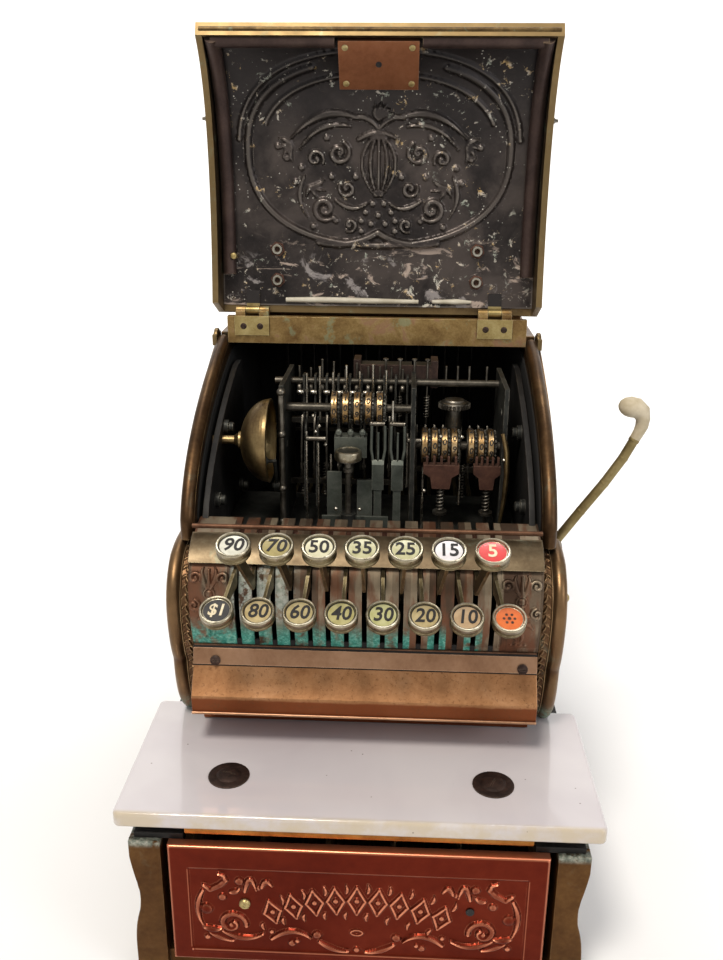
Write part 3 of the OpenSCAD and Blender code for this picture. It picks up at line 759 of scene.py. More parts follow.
BELL = old_metal("bell_brass", (0.14, 0.085, 0.04), (0.33, 0.235, 0.11), (0.46, 0.35, 0.17),
                 (0.6, 0.46, 0.24), rough=(0.24, 0.42), patch=34, metallic=1.0)
RUST = old_metal("rusty_iron", (0.04, 0.016, 0.01), (0.085, 0.035, 0.022), (0.14, 0.065, 0.04),
                 (0.26, 0.15, 0.1), rough=(0.5, 0.75), metallic=0.45, patch=90)
BOLT = old_metal("brown_bolts", (0.018, 0.011, 0.009), (0.042, 0.025, 0.020), (0.085, 0.048, 0.036),
                 (0.22, 0.15, 0.11), rough=(0.34, 0.6), metallic=0.7, patch=130, pits=0.5)
NICKEL = old_metal("worn_nickel", (0.085, 0.055, 0.034), (0.17, 0.125, 0.085), (0.27, 0.215, 0.15),
                   (0.48, 0.4, 0.28), rough=(0.3, 0.52), patch=40, metallic=0.85, crest_wear_and_highlight=0.5,
                   build=keyboard_wear)
RAIL = old_metal("rail_nickel", (0.06, 0.04, 0.022), (0.12, 0.088, 0.052), (0.20, 0.155, 0.095),
                 (0.36, 0.29, 0.18), rough=(0.28, 0.46), patch=30, metallic=0.9, verdigris=0.45)
EDGE = old_metal("brown_edge", (0.05, 0.022, 0.013), (0.115, 0.055, 0.032), (0.19, 0.1, 0.06),
                 (0.33, 0.2, 0.12), rough=(0.4, 0.6), patch=50)
FLANGE = old_metal("flange_copper", (0.28, 0.145, 0.08), (0.40, 0.225, 0.13), (0.50, 0.30, 0.185),
                   (0.8, 0.55, 0.38), rough=(0.26, 0.42), patch=24, pits=0.1)
KICK = old_metal("kick_copper", (0.27, 0.12, 0.05), (0.42, 0.205, 0.09), (0.54, 0.29, 0.145),
                 (0.74, 0.46, 0.28), rough=(0.28, 0.46), patch=30, build=kick_band)
# Red copper whose relief ridge tops take a pale pink colour: partly wear, partly painted highlight.
RED_COPPER = old_metal("red_copper", (0.085, 0.009, 0.004), (0.125, 0.015, 0.006), (0.175, 0.024, 0.010),
                       (0.95, 0.36, 0.20), rough=(0.24, 0.36), patch=10, wear=0.3, grime_and_shade=0.6,
                       grime_and_shade_color=(0.045, 0.007, 0.004), metallic=0.95, pits=0.06, crest_wear_and_highlight=0.85)
LOCK = old_metal("lock_copper", (0.20, 0.075, 0.035), (0.31, 0.125, 0.06), (0.40, 0.175, 0.09),
                 (0.66, 0.38, 0.24), rough=(0.25, 0.42), patch=20, pits=0.1)
BAR = old_metal("hinge_bar_brass", (0.15, 0.08, 0.03), (0.32, 0.21, 0.08), (0.52, 0.39, 0.18),
                (0.66, 0.54, 0.32), rough=(0.3, 0.52), patch=48, build=bar_mottle)
LEAF = old_metal("lid_leaf_brass", (0.2, 0.14, 0.05), (0.38, 0.29, 0.12), (0.5, 0.41, 0.2),
                 (0.7, 0.6, 0.36), rough=(0.24, 0.45), patch=70, build=painted_leaf)
TRIM = old_metal("trim_brass", (0.17, 0.07, 0.015), (0.34, 0.17, 0.04), (0.46, 0.26, 0.075),
                 (0.62, 0.42, 0.17), rough=(0.25, 0.45), patch=20, pits=0.1)
HINGE = old_metal("hinge_brass", (0.26, 0.18, 0.065), (0.42, 0.32, 0.13), (0.56, 0.46, 0.22),
                  (0.74, 0.64, 0.38), rough=(0.24, 0.45), patch=70)
LINING = old_metal("lid_lining", (0.009, 0.007, 0.007), (0.024, 0.019, 0.018), (0.05, 0.04, 0.036),
                   (0.24, 0.21, 0.18), rough=(0.2, 0.42), patch=26, metallic=0.6, grime_and_shade=0.35,
                   build=lid_specks, pits=0.4, crest_wear_and_highlight=0.6)
ROLL = old_metal("lid_roll", (0.022, 0.013, 0.011), (0.052, 0.031, 0.026), (0.085, 0.055, 0.044),
                 (0.3, 0.22, 0.13), rough=(0.34, 0.55), patch=34, metallic=0.6)
RIM = old_metal("lid_rim_brass", (0.04, 0.024, 0.011), (0.10, 0.064, 0.027), (0.20, 0.135, 0.056),
                (0.27, 0.185, 0.08), rough=(0.28, 0.5), patch=55, verdigris=0.9)
KEY_METAL = old_metal("key_nickel", (0.07, 0.052, 0.026), (0.16, 0.125, 0.066), (0.29, 0.24, 0.135),
                      (0.50, 0.43, 0.27), rough=(0.22, 0.4), patch=90, metallic=1.0)
KEY_RING = old_metal("key_ring", (0.24, 0.2, 0.13), (0.42, 0.37, 0.26), (0.6, 0.55, 0.42),
                     (0.85, 0.8, 0.66), rough=(0.16, 0.34), patch=130, metallic=1.0)
ARM = old_metal("pale_arm_brass", (0.15, 0.11, 0.045), (0.26, 0.2, 0.085), (0.36, 0.295, 0.15),
                (0.5, 0.43, 0.26), rough=(0.38, 0.6), patch=40, metallic=0.8)
GRIP = plain_finish("ivory_grip", (0.42, 0.35, 0.23), (0.58, 0.51, 0.38), 0.42, scale=90, bump=0.25)
RED_BALL = plain_finish("red_hammer", (0.16, 0.03, 0.018), (0.24, 0.055, 0.034), 0.45, scale=160)
CREAM = plain_finish("cream_strip", (0.40, 0.36, 0.27), (0.58, 0.54, 0.44), 0.5, scale=70, bump=0.3)
# Black for printed numerals and lines, also used as painted shade in the keyholes.
INK_AND_SHADE_BLACK = plain_finish("black_ink_and_hole_shade", (0.006, 0.005, 0.005), (0.012, 0.010, 0.009), 0.55, scale=200)
CREAM_INK = plain_finish("cream_ink", (0.62, 0.52, 0.33), (0.76, 0.68, 0.50), 0.4, scale=200)
SLAB = milk_glass()
FLAG = flag_finish()
OAK = oak()
GLASS = clear_glass()

FACE_COLORS = {
    "100": ((0.022, 0.020, 0.020), (0.040, 0.036, 0.034)), "90": ((0.50, 0.49, 0.40), (0.64, 0.63, 0.53)),
    "80": ((0.36, 0.27, 0.115), (0.50, 0.40, 0.20)), "70": ((0.24, 0.19, 0.05), (0.33, 0.27, 0.085)),
    "60": ((0.33, 0.26, 0.11), (0.45, 0.37, 0.18)), "50": ((0.48, 0.45, 0.28), (0.60, 0.57, 0.39)),
    "40": ((0.33, 0.29, 0.10), (0.43, 0.39, 0.17)), "35": ((0.36, 0.34, 0.16), (0.46, 0.44, 0.25)),
    "30": ((0.38, 0.37, 0.14), (0.48, 0.47, 0.24)), "25": ((0.36, 0.34, 0.16), (0.48, 0.46, 0.26)),
    "20": ((0.34, 0.26, 0.11), (0.45, 0.36, 0.18)), "15": ((0.60, 0.57, 0.58), (0.70, 0.67, 0.68)),
    "10": ((0.36, 0.235, 0.12), (0.46, 0.32, 0.18)), "5": ((0.55, 0.012, 0.010), (0.66, 0.022, 0.016)),
    "open": ((0.56, 0.10, 0.012), (0.68, 0.15, 0.022)),
}
FACES = {key: plain_finish("face_" + key, a, b, 0.28, scale=240, bump=0.05, coat=0.35)
         for key, (a, b) in FACE_COLORS.items()}


# ---------------------------------------------------------------- camera, light and floor

def look_matrix(position, yaw, pitch, roll):
    forward = Vector((math.sin(yaw) * math.cos(pitch), math.cos(yaw) * math.cos(pitch), -math.sin(pitch)))
    right = Vector((math.cos(yaw), -math.sin(yaw), 0.0))
    down = forward.cross(right)
    turned = right * math.cos(roll) + down * math.sin(roll)
    below = down * math.cos(roll) - right * math.sin(roll)
    turn = Matrix((turned, -below, -forward)).transposed().to_4x4()
    return Matrix.Translation(position) @ turn


def make_camera():
    data = bpy.data.cameras.new("camera")
    data.sensor_width = 36.0
    data.lens = 35.70
    data.clip_start, data.clip_end = 0.01, 50
    camera = bpy.data.objects.new("camera", data)
    bpy.context.scene.collection.objects.link(camera)
    camera.matrix_world = look_matrix(Vector((0.020, -0.639, 0.4828)), math.radians(-2.49),
                                      math.radians(19.47), math.radians(-0.44))
    bpy.context.scene.camera = camera


def area_light(name, location, target, size, power, color):
    data = bpy.data.lights.new(name, "AREA")
    data.shape, data.size, data.energy, data.color = "DISK", size, power, color
    light = bpy.data.objects.new(name, data)
    bpy.context.scene.collection.objects.link(light)
    light.location = location
    light.rotation_euler = (Vector(target) - Vector(location)).to_track_quat("-Z", "Y").to_euler()


def make_stage():
    """A pale floor that curves up into a wall behind."""
    far, height, reach, curve = 3.2, 4.5, 4.5, 1.0
    outline = [(-5.0, 0.0), (far - curve, 0.0)]
    outline += [(far - curve + curve * math.sin(a), curve - curve * math.cos(a))
                for a in (math.radians(9 * i) for i in range(1, 11))]
    outline.append((far, height))
    verts = [(x, y, z) for y, z in outline for x in (-reach, reach)]
    faces = [(2 * i, 2 * i + 1, 2 * i + 3, 2 * i + 2) for i in range(len(outline) - 1)]
    mesh = bpy.data.meshes.new("floor")
    mesh.from_pydata(verts, [], faces)
    mesh.polygons.foreach_set("use_smooth", [True] * len(mesh.polygons))
    floor = bpy.data.objects.new("floor", mesh)
    f = Finish("pale_floor")
    f.set(color=f.ramp(f.noise(2, 3), [(0.3, (0.80, 0.80, 0.80)), (0.7, (0.84, 0.84, 0.84))]), rough=0.7)
    mesh.materials.append(f.material)
    bpy.context.scene.collection.objects.link(floor)
    floor.location.z = -0.0004


def make_light():
    world = bpy.data.worlds.new("studio")
    bpy.context.scene.world = world
    world.use_nodes = True
    world.node_tree.nodes["Background"].inputs["Color"].default_value = (1.0, 0.985, 0.96, 1.0)
    world.node_tree.nodes["Background"].inputs["Strength"].default_value = 0.5
    area_light("key", (-0.35, -1.0, 1.9), (0, -0.05, 0.25), 0.5, 27, (1.0, 0.93, 0.84))
    area_light("fill", (1.6, -1.2, 1.1), (0, 0, 0.25), 0.9, 9, (0.97, 0.97, 1.0))
    area_light("backdrop", (0.0, 1.2, 2.6), (0, 3.2, 0.8), 1.6, 90, (1.0, 0.98, 0.96))


make_camera()
make_stage()
make_light()
bpy.context.scene.view_settings.view_transform = "Standard"


# ---------------------------------------------------------------- base, deck, slab

BASE_FLOOR, BASE_TOP = 4, 100
PILLAR_WAVE = [((134, 88), (132.4, 76), (129.8, 66)), ((129.8, 66), (128.6, 54), (131, 46)),
               ((131, 46), (133.6, 38), (134, 24))]


def pillar_outline(side):
    """A pillar's (x, z) outline: straight inside, waisted outside."""
    wave = [point for part in PILLAR_WAVE for point in bezier_points(*part, 6)]
    outline = [(115, BASE_FLOOR), (115, BASE_TOP), (134, BASE_TOP)] + wave + [(134, BASE_FLOOR)]
    return [(side * x, z) for x, z in outline]


def base_pieces():
    """The base with its pillars and mouldings, the deck frame, and the slab with its trim and washers."""
    base = Solid().box(-134, 134, -194, 194, 0, BASE_FLOOR)
    for side in (-1, 1):
        base.prism(pillar_outline(side), lambda a, b, h: (a, -194 + h, b), 44)
        base.box(*sorted((side * 127, side * 131)), -150, 190, BASE_FLOOR, BASE_TOP)
        base.box(*sorted((side * 100, side * 127)), -150, 190, 14, 19.7)
        base.box(*sorted((side * 126, side * 134)), 150, 194, BASE_FLOOR, BASE_TOP)
        base.box(*sorted((side * 130.8, side * 133.4)), -138, 138, 16, 88)
    base.box(-127, 127, 190, 194, BASE_FLOOR, BASE_TOP)
    base.box(-118, 118, -190, -180, BASE_FLOOR, 16)
    make("base_body", base, PILLAR, "cabinet", 0.9, replaces=("base_frame",))
    rounded("deck_frame", 0.8, IRON)
    rounded("slab", 0.3, SLAB)
    dress("fixed_screws", BOLT)
    strip = Solid().box(-101, 101, -191.6, -186.3, 104.5, 110.5)
    strip.box(-101, 101, -192.4, -186.3, 110.8, 113.2)
    make("slab_trim", strip, TRIM, "cabinet", 0.7)
    washers = Solid()
    for x in (-79, 79):
        washers.lathe((x, -163, 124.05), (0, 0, 1), [(12.4, 0), (12.4, 0.5), (11.6, 0.9), (7, 0.9)], 40)
    make("bolt_washers", washers, BOLT, "cabinet")
    crust = Solid()
    for side in (-1, 1):
        for _ in range(90):
            x = side * random.uniform(117, 133)
            y = random.uniform(-193.2, -152)
            r = random.uniform(0.4, 1.4)
            crust.ball((x, y, BASE_TOP), r, random.uniform(0.3, 0.7), 8)
    make("pillar_crust", crust, PILLAR, "cabinet")
    moulding = [(0.0, -1.4), (0.9, -0.9), (1.2, 0), (0.9, 0.9), (0, 1.4)]
    beads = Solid()
    for side in (-1, 1):
        for z in (18, 86):
            beads.prism(moulding, lambda a, b, h, s=side, z=z: (s * (132.7 + a), -138 + h, z + b), 276)
    make("base_mouldings", beads, PILLAR, "cabinet")


# ---------------------------------------------------------------- cheeks and side panels

SIDES = ((-1, "left"), (1, "right"))
CHEEK_STEPS = 16
CHEEK_PARTS = [((-92, 124.5), (-112, 140), (-113, 172)), ((-113, 172), (-120, 184), (-122, 203)),
               ((-122, 203), (-125, 230), (-103, 243)), ((-103, 243), (-92, 247.5), (-75, 247.5))]


def edge_roll(side, path, centre, radius):
    """A half-round roll along an edge; path holds points inset by the radius, and outward directions."""
    half = 8
    verts = []
    for point, out in path:
        for k in range(half + 1):
            a = math.pi * k / half
            off = radius * math.sin(a)
            x = side * (centre - radius * math.cos(a))
            verts.append((x, point[0] + out[0] * off, point[1] + out[1] * off))
    ends = [face[::-1] for face in end_faces(len(path), half + 1)]
    return Solid().add(verts, ring_faces(len(path), half + 1) + ends)


def cheek_plate(side, x0, x1, inset, top):
    """A plate in a cheek's outline, drawn in from its front edge."""
    front = [tuple(point) for point, _ in edge_points(CHEEK_PARTS, CHEEK_STEPS, inset)]
    outline = [(-58, 114), (-82.4, 114), (-82.4, 124.5)] + front + [(-58, top)]
    return Solid().plate_x(outline, side * x0, side * x1)


def segment_at(lengths, s):
    """The number of the next point after a length, and the share of the way to it from the one before."""
    k = min(max(int(np.searchsorted(lengths, s)), 1), len(lengths) - 1)
    return k, (s - lengths[k - 1]) / (lengths[k] - lengths[k - 1])


def frieze_spot(side):
    """The place of a cheek's frieze for relief, and the frieze's length."""
    width, start = 6.6, 106.9
    path = edge_points(CHEEK_PARTS, 12, 2.4)
    lengths = run_lengths([point for point, _ in path])

    def spot(i, j):
        s = 2 + j * (lengths[-1] - 4)
        k, t = segment_at(lengths, s)
        p = path[k - 1][0] * (1 - t) + path[k][0] * t
        n = path[k - 1][1] * (1 - t) + path[k][1] * t
        return (i * width - 3.3, s), (side * (start + i * width), p[0], p[1]), (0, n[0], n[1])
    return spot, lengths[-1]


def frieze_pattern(length):
    """Leaves in pairs with a bead between, inside two plain lines."""
    pattern = Ornament()
    s = 6.0
    while s < length - 5:
        pattern.leaf(-2.2, s - 1.5, 5.2, 40, 1.0, 0.9)
        pattern.leaf(2.2, s + 1.0, 5.0, 118, 0.9, 0.8)
        pattern.dot(0, s + 3.2, 0.8, 0.8)
        s += 6.2
    for x in (-3.0, 3.0):
        pattern.stroke([(x, 2), (x, length - 2)], 0.5, 0.8, 1.0)
    return pattern


def cheeks():
    """Each cheek's body, roll, inner plate and frieze, and the knob on the right cheek."""
    for side, name in SIDES:
        make("cheek_body_" + name, cheek_plate(side, 113.6, 122.0, 5.0, 242.5), BRASS,
             "cabinet", 1.0)
        roll = edge_roll(side, edge_points(CHEEK_PARTS, CHEEK_STEPS, 4.6), 118.0, 4.5)
        make("cheek_roll_" + name, roll, BRASS, "cabinet", replaces=("cheek_" + name,))
        make("cheek_inner_" + name, cheek_plate(side, 106.6, 113.6, 3.4, 244), BRASS,
             "cabinet", 0.5)
        spot, length = frieze_spot(side)
        relief("cheek_frieze_" + name, spot, 17, 300, frieze_pattern(length), BRASS,
               "cabinet", flip=side > 0)
    profile = [(3.2, 0), (3.2, 0.8), (1.4, 1.2), (1.4, 2.6), (2.4, 3.4), (2.5, 4.4), (1.4, 5.2)]
    knob = Solid().lathe((122.0, -95, 214.9), (1, 0, 0), profile, 24)
    make("cheek_knob", knob, HINGE, "cabinet")


LID_RIM = ((-97, 262), (-76, 316), (51, 350))


def seat_path(inset):
    """Points and outward directions along the edge that the closed lid rests on, in (y, z)."""
    path = [(np.array([-97.0 + inset, z]), np.array([-1.0, 0.0])) for z in (248.5, 256.0)]
    return path + edge_points([LID_RIM], 30, inset + 0.4)


def side_casting(side, name):
    """A side panel with its raised flank, the roll along its top and a black sheet of painted shade inside
    it.
    """
    back = [(195, 345), (195, 114), (-57.4, 114), (-57.4, 248.2)]
    inner = [tuple(point) for point, _ in seat_path(4.4)]
    body = Solid().plate_x(back + [(-92.6, 248.2)] + inner + [(51, 345)], side * 108, side * 117)
    wing = bezier_points((-72, 252), (-52, 304), (60, 342), 24)
    body.plate_x([(195, 342), (195, 114), (-57.4, 114), (-57.4, 248.2), (-73.6, 248.2)] + wing,
                 side * 116.8, side * 120.4)
    make("side_body_" + name, body, PANEL, "cabinet", 0.9, replaces=("side_" + name,))
    roll = edge_roll(side, seat_path(4.5), 112.5, 4.45)
    make("side_roll_" + name, roll, PANEL, "cabinet")
    # A black sheet just inside the panel: painted shade for the cabinet's dark interior.
    arch = bezier_points((-84, 262), (-60, 312), (60, 338), 14)
    lining = Solid().plate_x([(188, 118), (-54, 118), (-54, 250), (-84, 250)] + arch + [(188, 340)],
                             side * 107.0, side * 108.2)
    make("side_shade_sheet_" + name, lining, SHADE_BLACK, "cabinet")


def side_ornament(side, name):
    """The bead round a side panel's flank and the scrolls inside it."""
    arch = bezier_points((-50, 246), (-40, 296), (66, 331), 16)
    path = [(188, 122), (-50, 122)] + arch + [(188, 331), (188, 122)]
    border = Solid().tube([(side * 120.6, y, z) for y, z in path], 1.5, 8)
    make("side_border_" + name, border, PANEL, "cabinet")
    pattern = Ornament()
    for x, z, r, start, way in ((38, 200, 26, 200, 1), (88, 246, 20, 20, -1), (88, 168, 20, 20, 1),
                                (138, 205, 26, 340, -1)):
        pattern.scroll(x, z, r, start, way, 1.6, 2.0, 1.1)
        for k in range(3):
            leaf_x, leaf_z = x + r * math.cos(k * 2.1), z + r * math.sin(k * 2.1)
            pattern.leaf(leaf_x, leaf_z, r * 0.6, 70 + 120 * k, 2.2, 1.0)
    pattern.stroke(oval(88, 206, 74, 66), 1.3, 1.0, 1.0)

    def spot(i, j):
        y, z = 12 + i * 156, 138 + j * 136
        return (y, z), (side * 120.55, y, z), (side, 0, 0)
    relief("side_ornament_" + name, spot, 150, 130, pattern, PANEL, "cabinet",
           flip=side < 0, thick=0.5)


def side_inside(side, name):
    """The black frame and lugs that the mechanism is bolted to, and the hinge's ear outside."""
    liner = bezier_points((-88, 256), (-64, 300), (40, 330), 14)
    outline = [(-55, 232), (-86, 232)] + liner + [(60, 330), (60, 232)]
    make("inner_frame_" + name, Solid().plate_x(outline, side * 100.5, side * 104.5), IRON,
         "cabinet", 0.8)
    lugs = Solid()
    for y, z in ((-60, 262), (-20, 300), (30, 240)):
        lugs.lathe((side * 100.5, y, z), (-side, 0, 0),
                   [(5, 0), (5, 3), (3.4, 3.4), (3.4, 6), (2.6, 6.6)], 20)
    make("inner_lugs_" + name, lugs, MECH, "cabinet")
    ear = Solid().lathe((side * 116.9, 57, 347), (side, 0, 0),
                        [(6.0, 0), (6.4, 0.5), (6.4, 2.4), (5.6, 3.1), (3, 3.3)], 28)
    ear.box(*sorted((side * 116.9, side * 120.2)), 48, 66, 342, 350)
    make("hinge_ear_" + name, ear, SHELL, "cabinet", 0.6)


def side_panels():
    for side, name in SIDES:
        side_casting(side, name)
        side_ornament(side, name)
        side_inside(side, name)


# ---------------------------------------------------------------- keyboard

PLATE_PARTS = [((-121, 190), (-130, 212), (-127, 233)), ((-127, 233), (-121, 258), (-83, 259.5))]
PLATE = edge_points(PLATE_PARTS, 40)
PLATE_LENGTHS = run_lengths([point for point, _ in PLATE])


def plate_at(s):
    """The point and outward direction at a length up the keyboard plate."""
    k, t = segment_at(PLATE_LENGTHS, s)
    return PLATE[k - 1][0] * (1 - t) + PLATE[k][0] * t, PLATE[k - 1][1]


def fleur():
    """The cast ornament beside the keys: a lily over scrolls, in plate millimetres."""
    pattern = Ornament()
    pattern.bold = 1.25
    pattern.stroke([(0, 43), (0, 53)], 2.2, 1.2, 0.4)
    pattern.stroke(bezier_points((1, 42), (6, 50), (3.4, 54)), 1.3, 1.1, mirror=True)
    pattern.scroll(8.6, 48, 3.6, 200, -1, 1.3, 1.0, 1.1, mirror=True)
    pattern.dot(0, 38.5, 2.0, 1.1)
    pattern.stroke(oval(0, 38.5, 3.2, 3.2, n=24), 0.6, 0.8, 1.0)
    pattern.stroke([(0, 34), (0, 27)], 2.4, 1.2, 0.5)
    pattern.scroll(9.4, 31, 3.8, 100, 1, 1.4, 1.0, 1.1, mirror=True)
    pattern.stroke(bezier_points((1, 27), (5, 30), (9.5, 26.5)), 1.1, 1.0, mirror=True)
    pattern.stroke(bezier_points((0.6, 24), (6, 24), (8, 20)), 1.2, 1.0, mirror=True)
    pattern.dot(0, 21.5, 2.2, 1.1)
    pattern.stroke(bezier_points((0, 19), (3.5, 15), (1.0, 10.5)), 1.2, 1.0, mirror=True)
    for k in range(4):
        pattern.dot(-4.5 + 3 * k, 7.5, 0.8, 0.7)
    return pattern


def keyboard():
    """The keyboard plate and its rails, black strips of painted shade at the feet of its slots, thin black
    shadow lines along the kick rail, and the ornament beside them.
    """
    rounded("slot_plate", 0.35, NICKEL)
    rounded("keyboard_rail", 0.4, RAIL)
    rounded("kick_rail", 0.5, KICK)
    flange = Solid().plate_x([(-122.6, 188.0), (-125.9, 177.9), (-123.6, 177.4), (-120.6, 187.4)], -106, 106)
    make("kick_flange", flange, FLANGE, "cabinet", 0.5)
    # Thin black tubes under the flange and at the plate's foot: painted shadow lines.
    shadow_lines = Solid()
    for y, z, radius in ((-124.9, 177.3, 0.55), (-121.9, 188.6, 0.9)):
        shadow_lines.tube([(x, y, z) for x in (-105.8, 0, 105.8)], radius, 8)
    make("kick_shadow_lines", shadow_lines, SHADE_BLACK, "cabinet", angle=60)
    # Black strips that carry each slot's dark down to the sill: painted shade.
    shadows = Solid()
    for i in range(len(KEYS)):
        x = (i - MIDDLE_KEY) * KEY_PITCH
        front = bezier_points((-121.2, 189.2), (-122.2, 191.6), (-123.0, 194.6), 3)
        shadows.plate_x(front + [(-121.4, 194.6), (-119.6, 189.2)], x - 1.5, x + 1.5)
    make("slot_painted_shadows", shadows, SHADE_BLACK, "cabinet")
    bead = Solid().tube([(x, -135.6, 149.4) for x in (-106, 0, 106)], 0.9, 10)
    make("kick_bead", bead, FLANGE, "cabinet", angle=60)
    ornament = fleur()
    for side, name in SIDES:
        def spot(i, j, s=side):
            u = -12 + 24 * i
            length = 4 + 54 * j
            point, out = plate_at(length)
            return (u, length), (s * 93.2 + u, point[0] + out[0] * 0.35, point[1] + out[1] * 0.35), (0, *out)
        relief("keyboard_ornament_" + name, spot, 60, 130, ornament, NICKEL, "cabinet",
               thick=0.4, gain=1.7)
    lip = Solid().tube([(x, -107.6, 263.0) for x in (-105.8, -60, 0, 60, 105.8)], 1.5, 10)
    make("rail_lip", lip, EDGE, "cabinet")
    sill = Solid().box(-105.5, 105.5, -122.4, -119.2, 187.0, 190.2)
    make("plate_sill", sill, EDGE, "cabinet", 0.6)


# ---------------------------------------------------------------- keys and flags

def text_mesh(name, text, size, thick, bold, shear):
    """Numerals as a closed flat mesh in metres, facing +Z."""
    curve = bpy.data.curves.new(name, "FONT")
    curve.body = text
    curve.size = size * MM
    curve.extrude = thick * 0.5 * MM
    curve.offset = bold * MM
    curve.shear = shear
    curve.resolution_u = 3
    curve.align_x, curve.align_y = "CENTER", "CENTER"
    temp = bpy.data.objects.new(name + "_text", curve)
    bpy.context.scene.collection.objects.link(temp)
    mesh = bpy.data.meshes.new_from_object(temp.evaluated_get(bpy.context.evaluated_depsgraph_get()))
    bpy.data.objects.remove(temp)
    bpy.data.curves.remove(curve)
    mesh.name = name
    bm = bmesh.new()
    bm.from_mesh(mesh)
    bmesh.ops.remove_doubles(bm, verts=bm.verts, dist=1e-7)
    bm.to_mesh(mesh)
    bm.free()
    return mesh


def facing(right, up, out):
    """The turn that gives flat text these right, up and outward directions."""
    return Matrix((right, up, out)).transposed()


def label_of(key):
    """The price on a key's cap and on its flag; the orange key has none."""
    return {"100": "$1", "open": ""}.get(key, key)


def flat_text(name, text, size, turn, centre, material, body, thick=0.25, bold=0.0, shear=0.0,
              wide=1.0):
    """A numeral piece; turn is a 3x3 matrix whose columns are right, up and out."""
    mesh = text_mesh(name, text, size, thick, bold, shear)
    mesh.transform(Matrix.Diagonal((wide, 1.0, 1.0, 1.0)))
    mesh.transform(Matrix.Translation(Vector(centre) * MM) @ turn.to_4x4())
    return place(bpy.data.objects.new(name, mesh), material, body)


CAP_RING = [(8.2, 2.6), (8.2, 3.7), (8.6, 4.3), (9.2, 4.4), (9.7, 4.0), (9.85, 3.3), (9.6, 2.7),
            (9.55, 1.2), (9.4, 1.0), (8.2, 1.0), (8.2, 2.6)]
CAP_BAND = [(9.42, -2.5), (9.62, -2.2), (9.62, -1.1), (9.42, -0.8), (9.3, -0.8), (9.3, -2.5), (9.42, -2.5)]
CAP_FACE = [(8.3, 2.7), (8.3, 3.0), (6, 3.12), (3, 3.2), (0.4, 3.22)]
CAP_LINE = [(7.5, 2.7), (7.5, 3.1), (7.6, 3.2), (7.95, 3.2), (8.1, 3.1), (8.1, 2.7), (7.5, 2.7)]
LIGHT_LINED = ("100", "5", "open")     # the rest have a black line round the face
LIGHT_LABELLED = ("100", "5")


def bead_ring(centre, up, out):
    """The orange key's mark: six small beads round a larger one."""
    mark = Solid()
    for k in range(6):
        b = math.pi * k / 3
        spot = centre + Vector((math.cos(b) * 3, 0, 0)) + up * math.sin(b) * 3 + out * 3.2
        mark.lathe(spot, out, [(0.85, -0.1), (0.85, 0.12), (0.3, 0.2)], 14)
    return mark.lathe(centre, out, [(1.1, 3.1), (1.1, 3.34), (0.4, 3.42)], 18)


def keys():
    """Each key's cap in four turned parts, and its price or the orange key's beads."""
    for i, key in enumerate(KEYS):
        body = "key_" + key
        dress(body, KEY_METAL)
        y, z, tilt = UPPER_CAP if i % 2 else LOWER_CAP
        a = math.radians(tilt)
        right, up = Vector((1, 0, 0)), Vector((0, math.sin(a), math.cos(a)))
        out = Vector((0, -math.cos(a), math.sin(a)))
        centre = Vector(((i - MIDDLE_KEY) * CAP_PITCH, y, z))
        line = KEY_RING if key in LIGHT_LINED else INK_AND_SHADE_BLACK
        for part, profile, sides, material, angle in (
                ("ring", CAP_RING, 44, KEY_RING, 40), ("band", CAP_BAND, 44, KEY_METAL, 40),
                ("face", CAP_FACE, 40, FACES[key], 60), ("line", CAP_LINE, 40, line, 60)):
            turned = Solid().lathe(centre, out, profile, sides)
            make("key_" + part + "_" + key, turned, material, body, angle=angle)
        label = label_of(key)
        if label:
            size = 11.0 if key == "100" else 13.0
            ink = CREAM_INK if key in LIGHT_LABELLED else INK_AND_SHADE_BLACK
            lean = 0.13 if i % 2 == 0 or i < 4 else 0.0
            flat_text("key_number_" + key, label, size, facing(right, up, out), centre + out * 3.3 + up * 0.1,
                      ink, body, bold=0.24, shear=lean, wide=0.88)
        else:
            make("key_mark_open", bead_ring(centre, up, out), RUST, body, angle=60)


def flags():
    """Each flag's plate with its price in front and behind, and the foot that joins it to its rod."""
    front_turn = facing((1, 0, 0), (0, 0, 1), (0, -1, 0))
    rear_turn = facing((-1, 0, 0), (0, 0, 1), (0, 1, 0))
    for i, key in enumerate(KEYS):
        body = "flag_" + key
        dress(body, FLAG)
        x = (i - MIDDLE_KEY) * KEY_PITCH
        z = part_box(body)[1].z / MM - 10
        label = label_of(key)
        if label:
            for name, turn, y in (("flag_front_", front_turn, 149.3), ("flag_rear_", rear_turn, 150.7)):
                flat_text(name + key, label, 7.4, turn, (x, y, z), INK_AND_SHADE_BLACK, body,
                          thick=0.16, bold=0.12, wide=0.8)
        cap = Solid().box(x - 4.6, x + 4.6, 149.0, 151.0, z - 10.2, z - 8.8)
        make("flag_foot_" + key, cap, STEEL, body, 0.25)


# ---------------------------------------------------------------- drawer

def lozenge(p, x, y, rx, ry, lean):
    """A leaning diamond of four ridges round a bead."""
    a = math.radians(lean)
    corners = [(0, ry), (rx, 0), (0, -ry), (-rx, 0)]
    turned = [(x + cx * math.cos(a) - cy * math.sin(a), y + cx * math.sin(a) + cy * math.cos(a))
              for cx, cy in corners]
    for first, second in zip(turned, turned[1:] + turned[:1]):
        p.stroke([first, second], 1.15, 1.5, 0.8)
    p.dot(x, y, 1.5, 1.5)


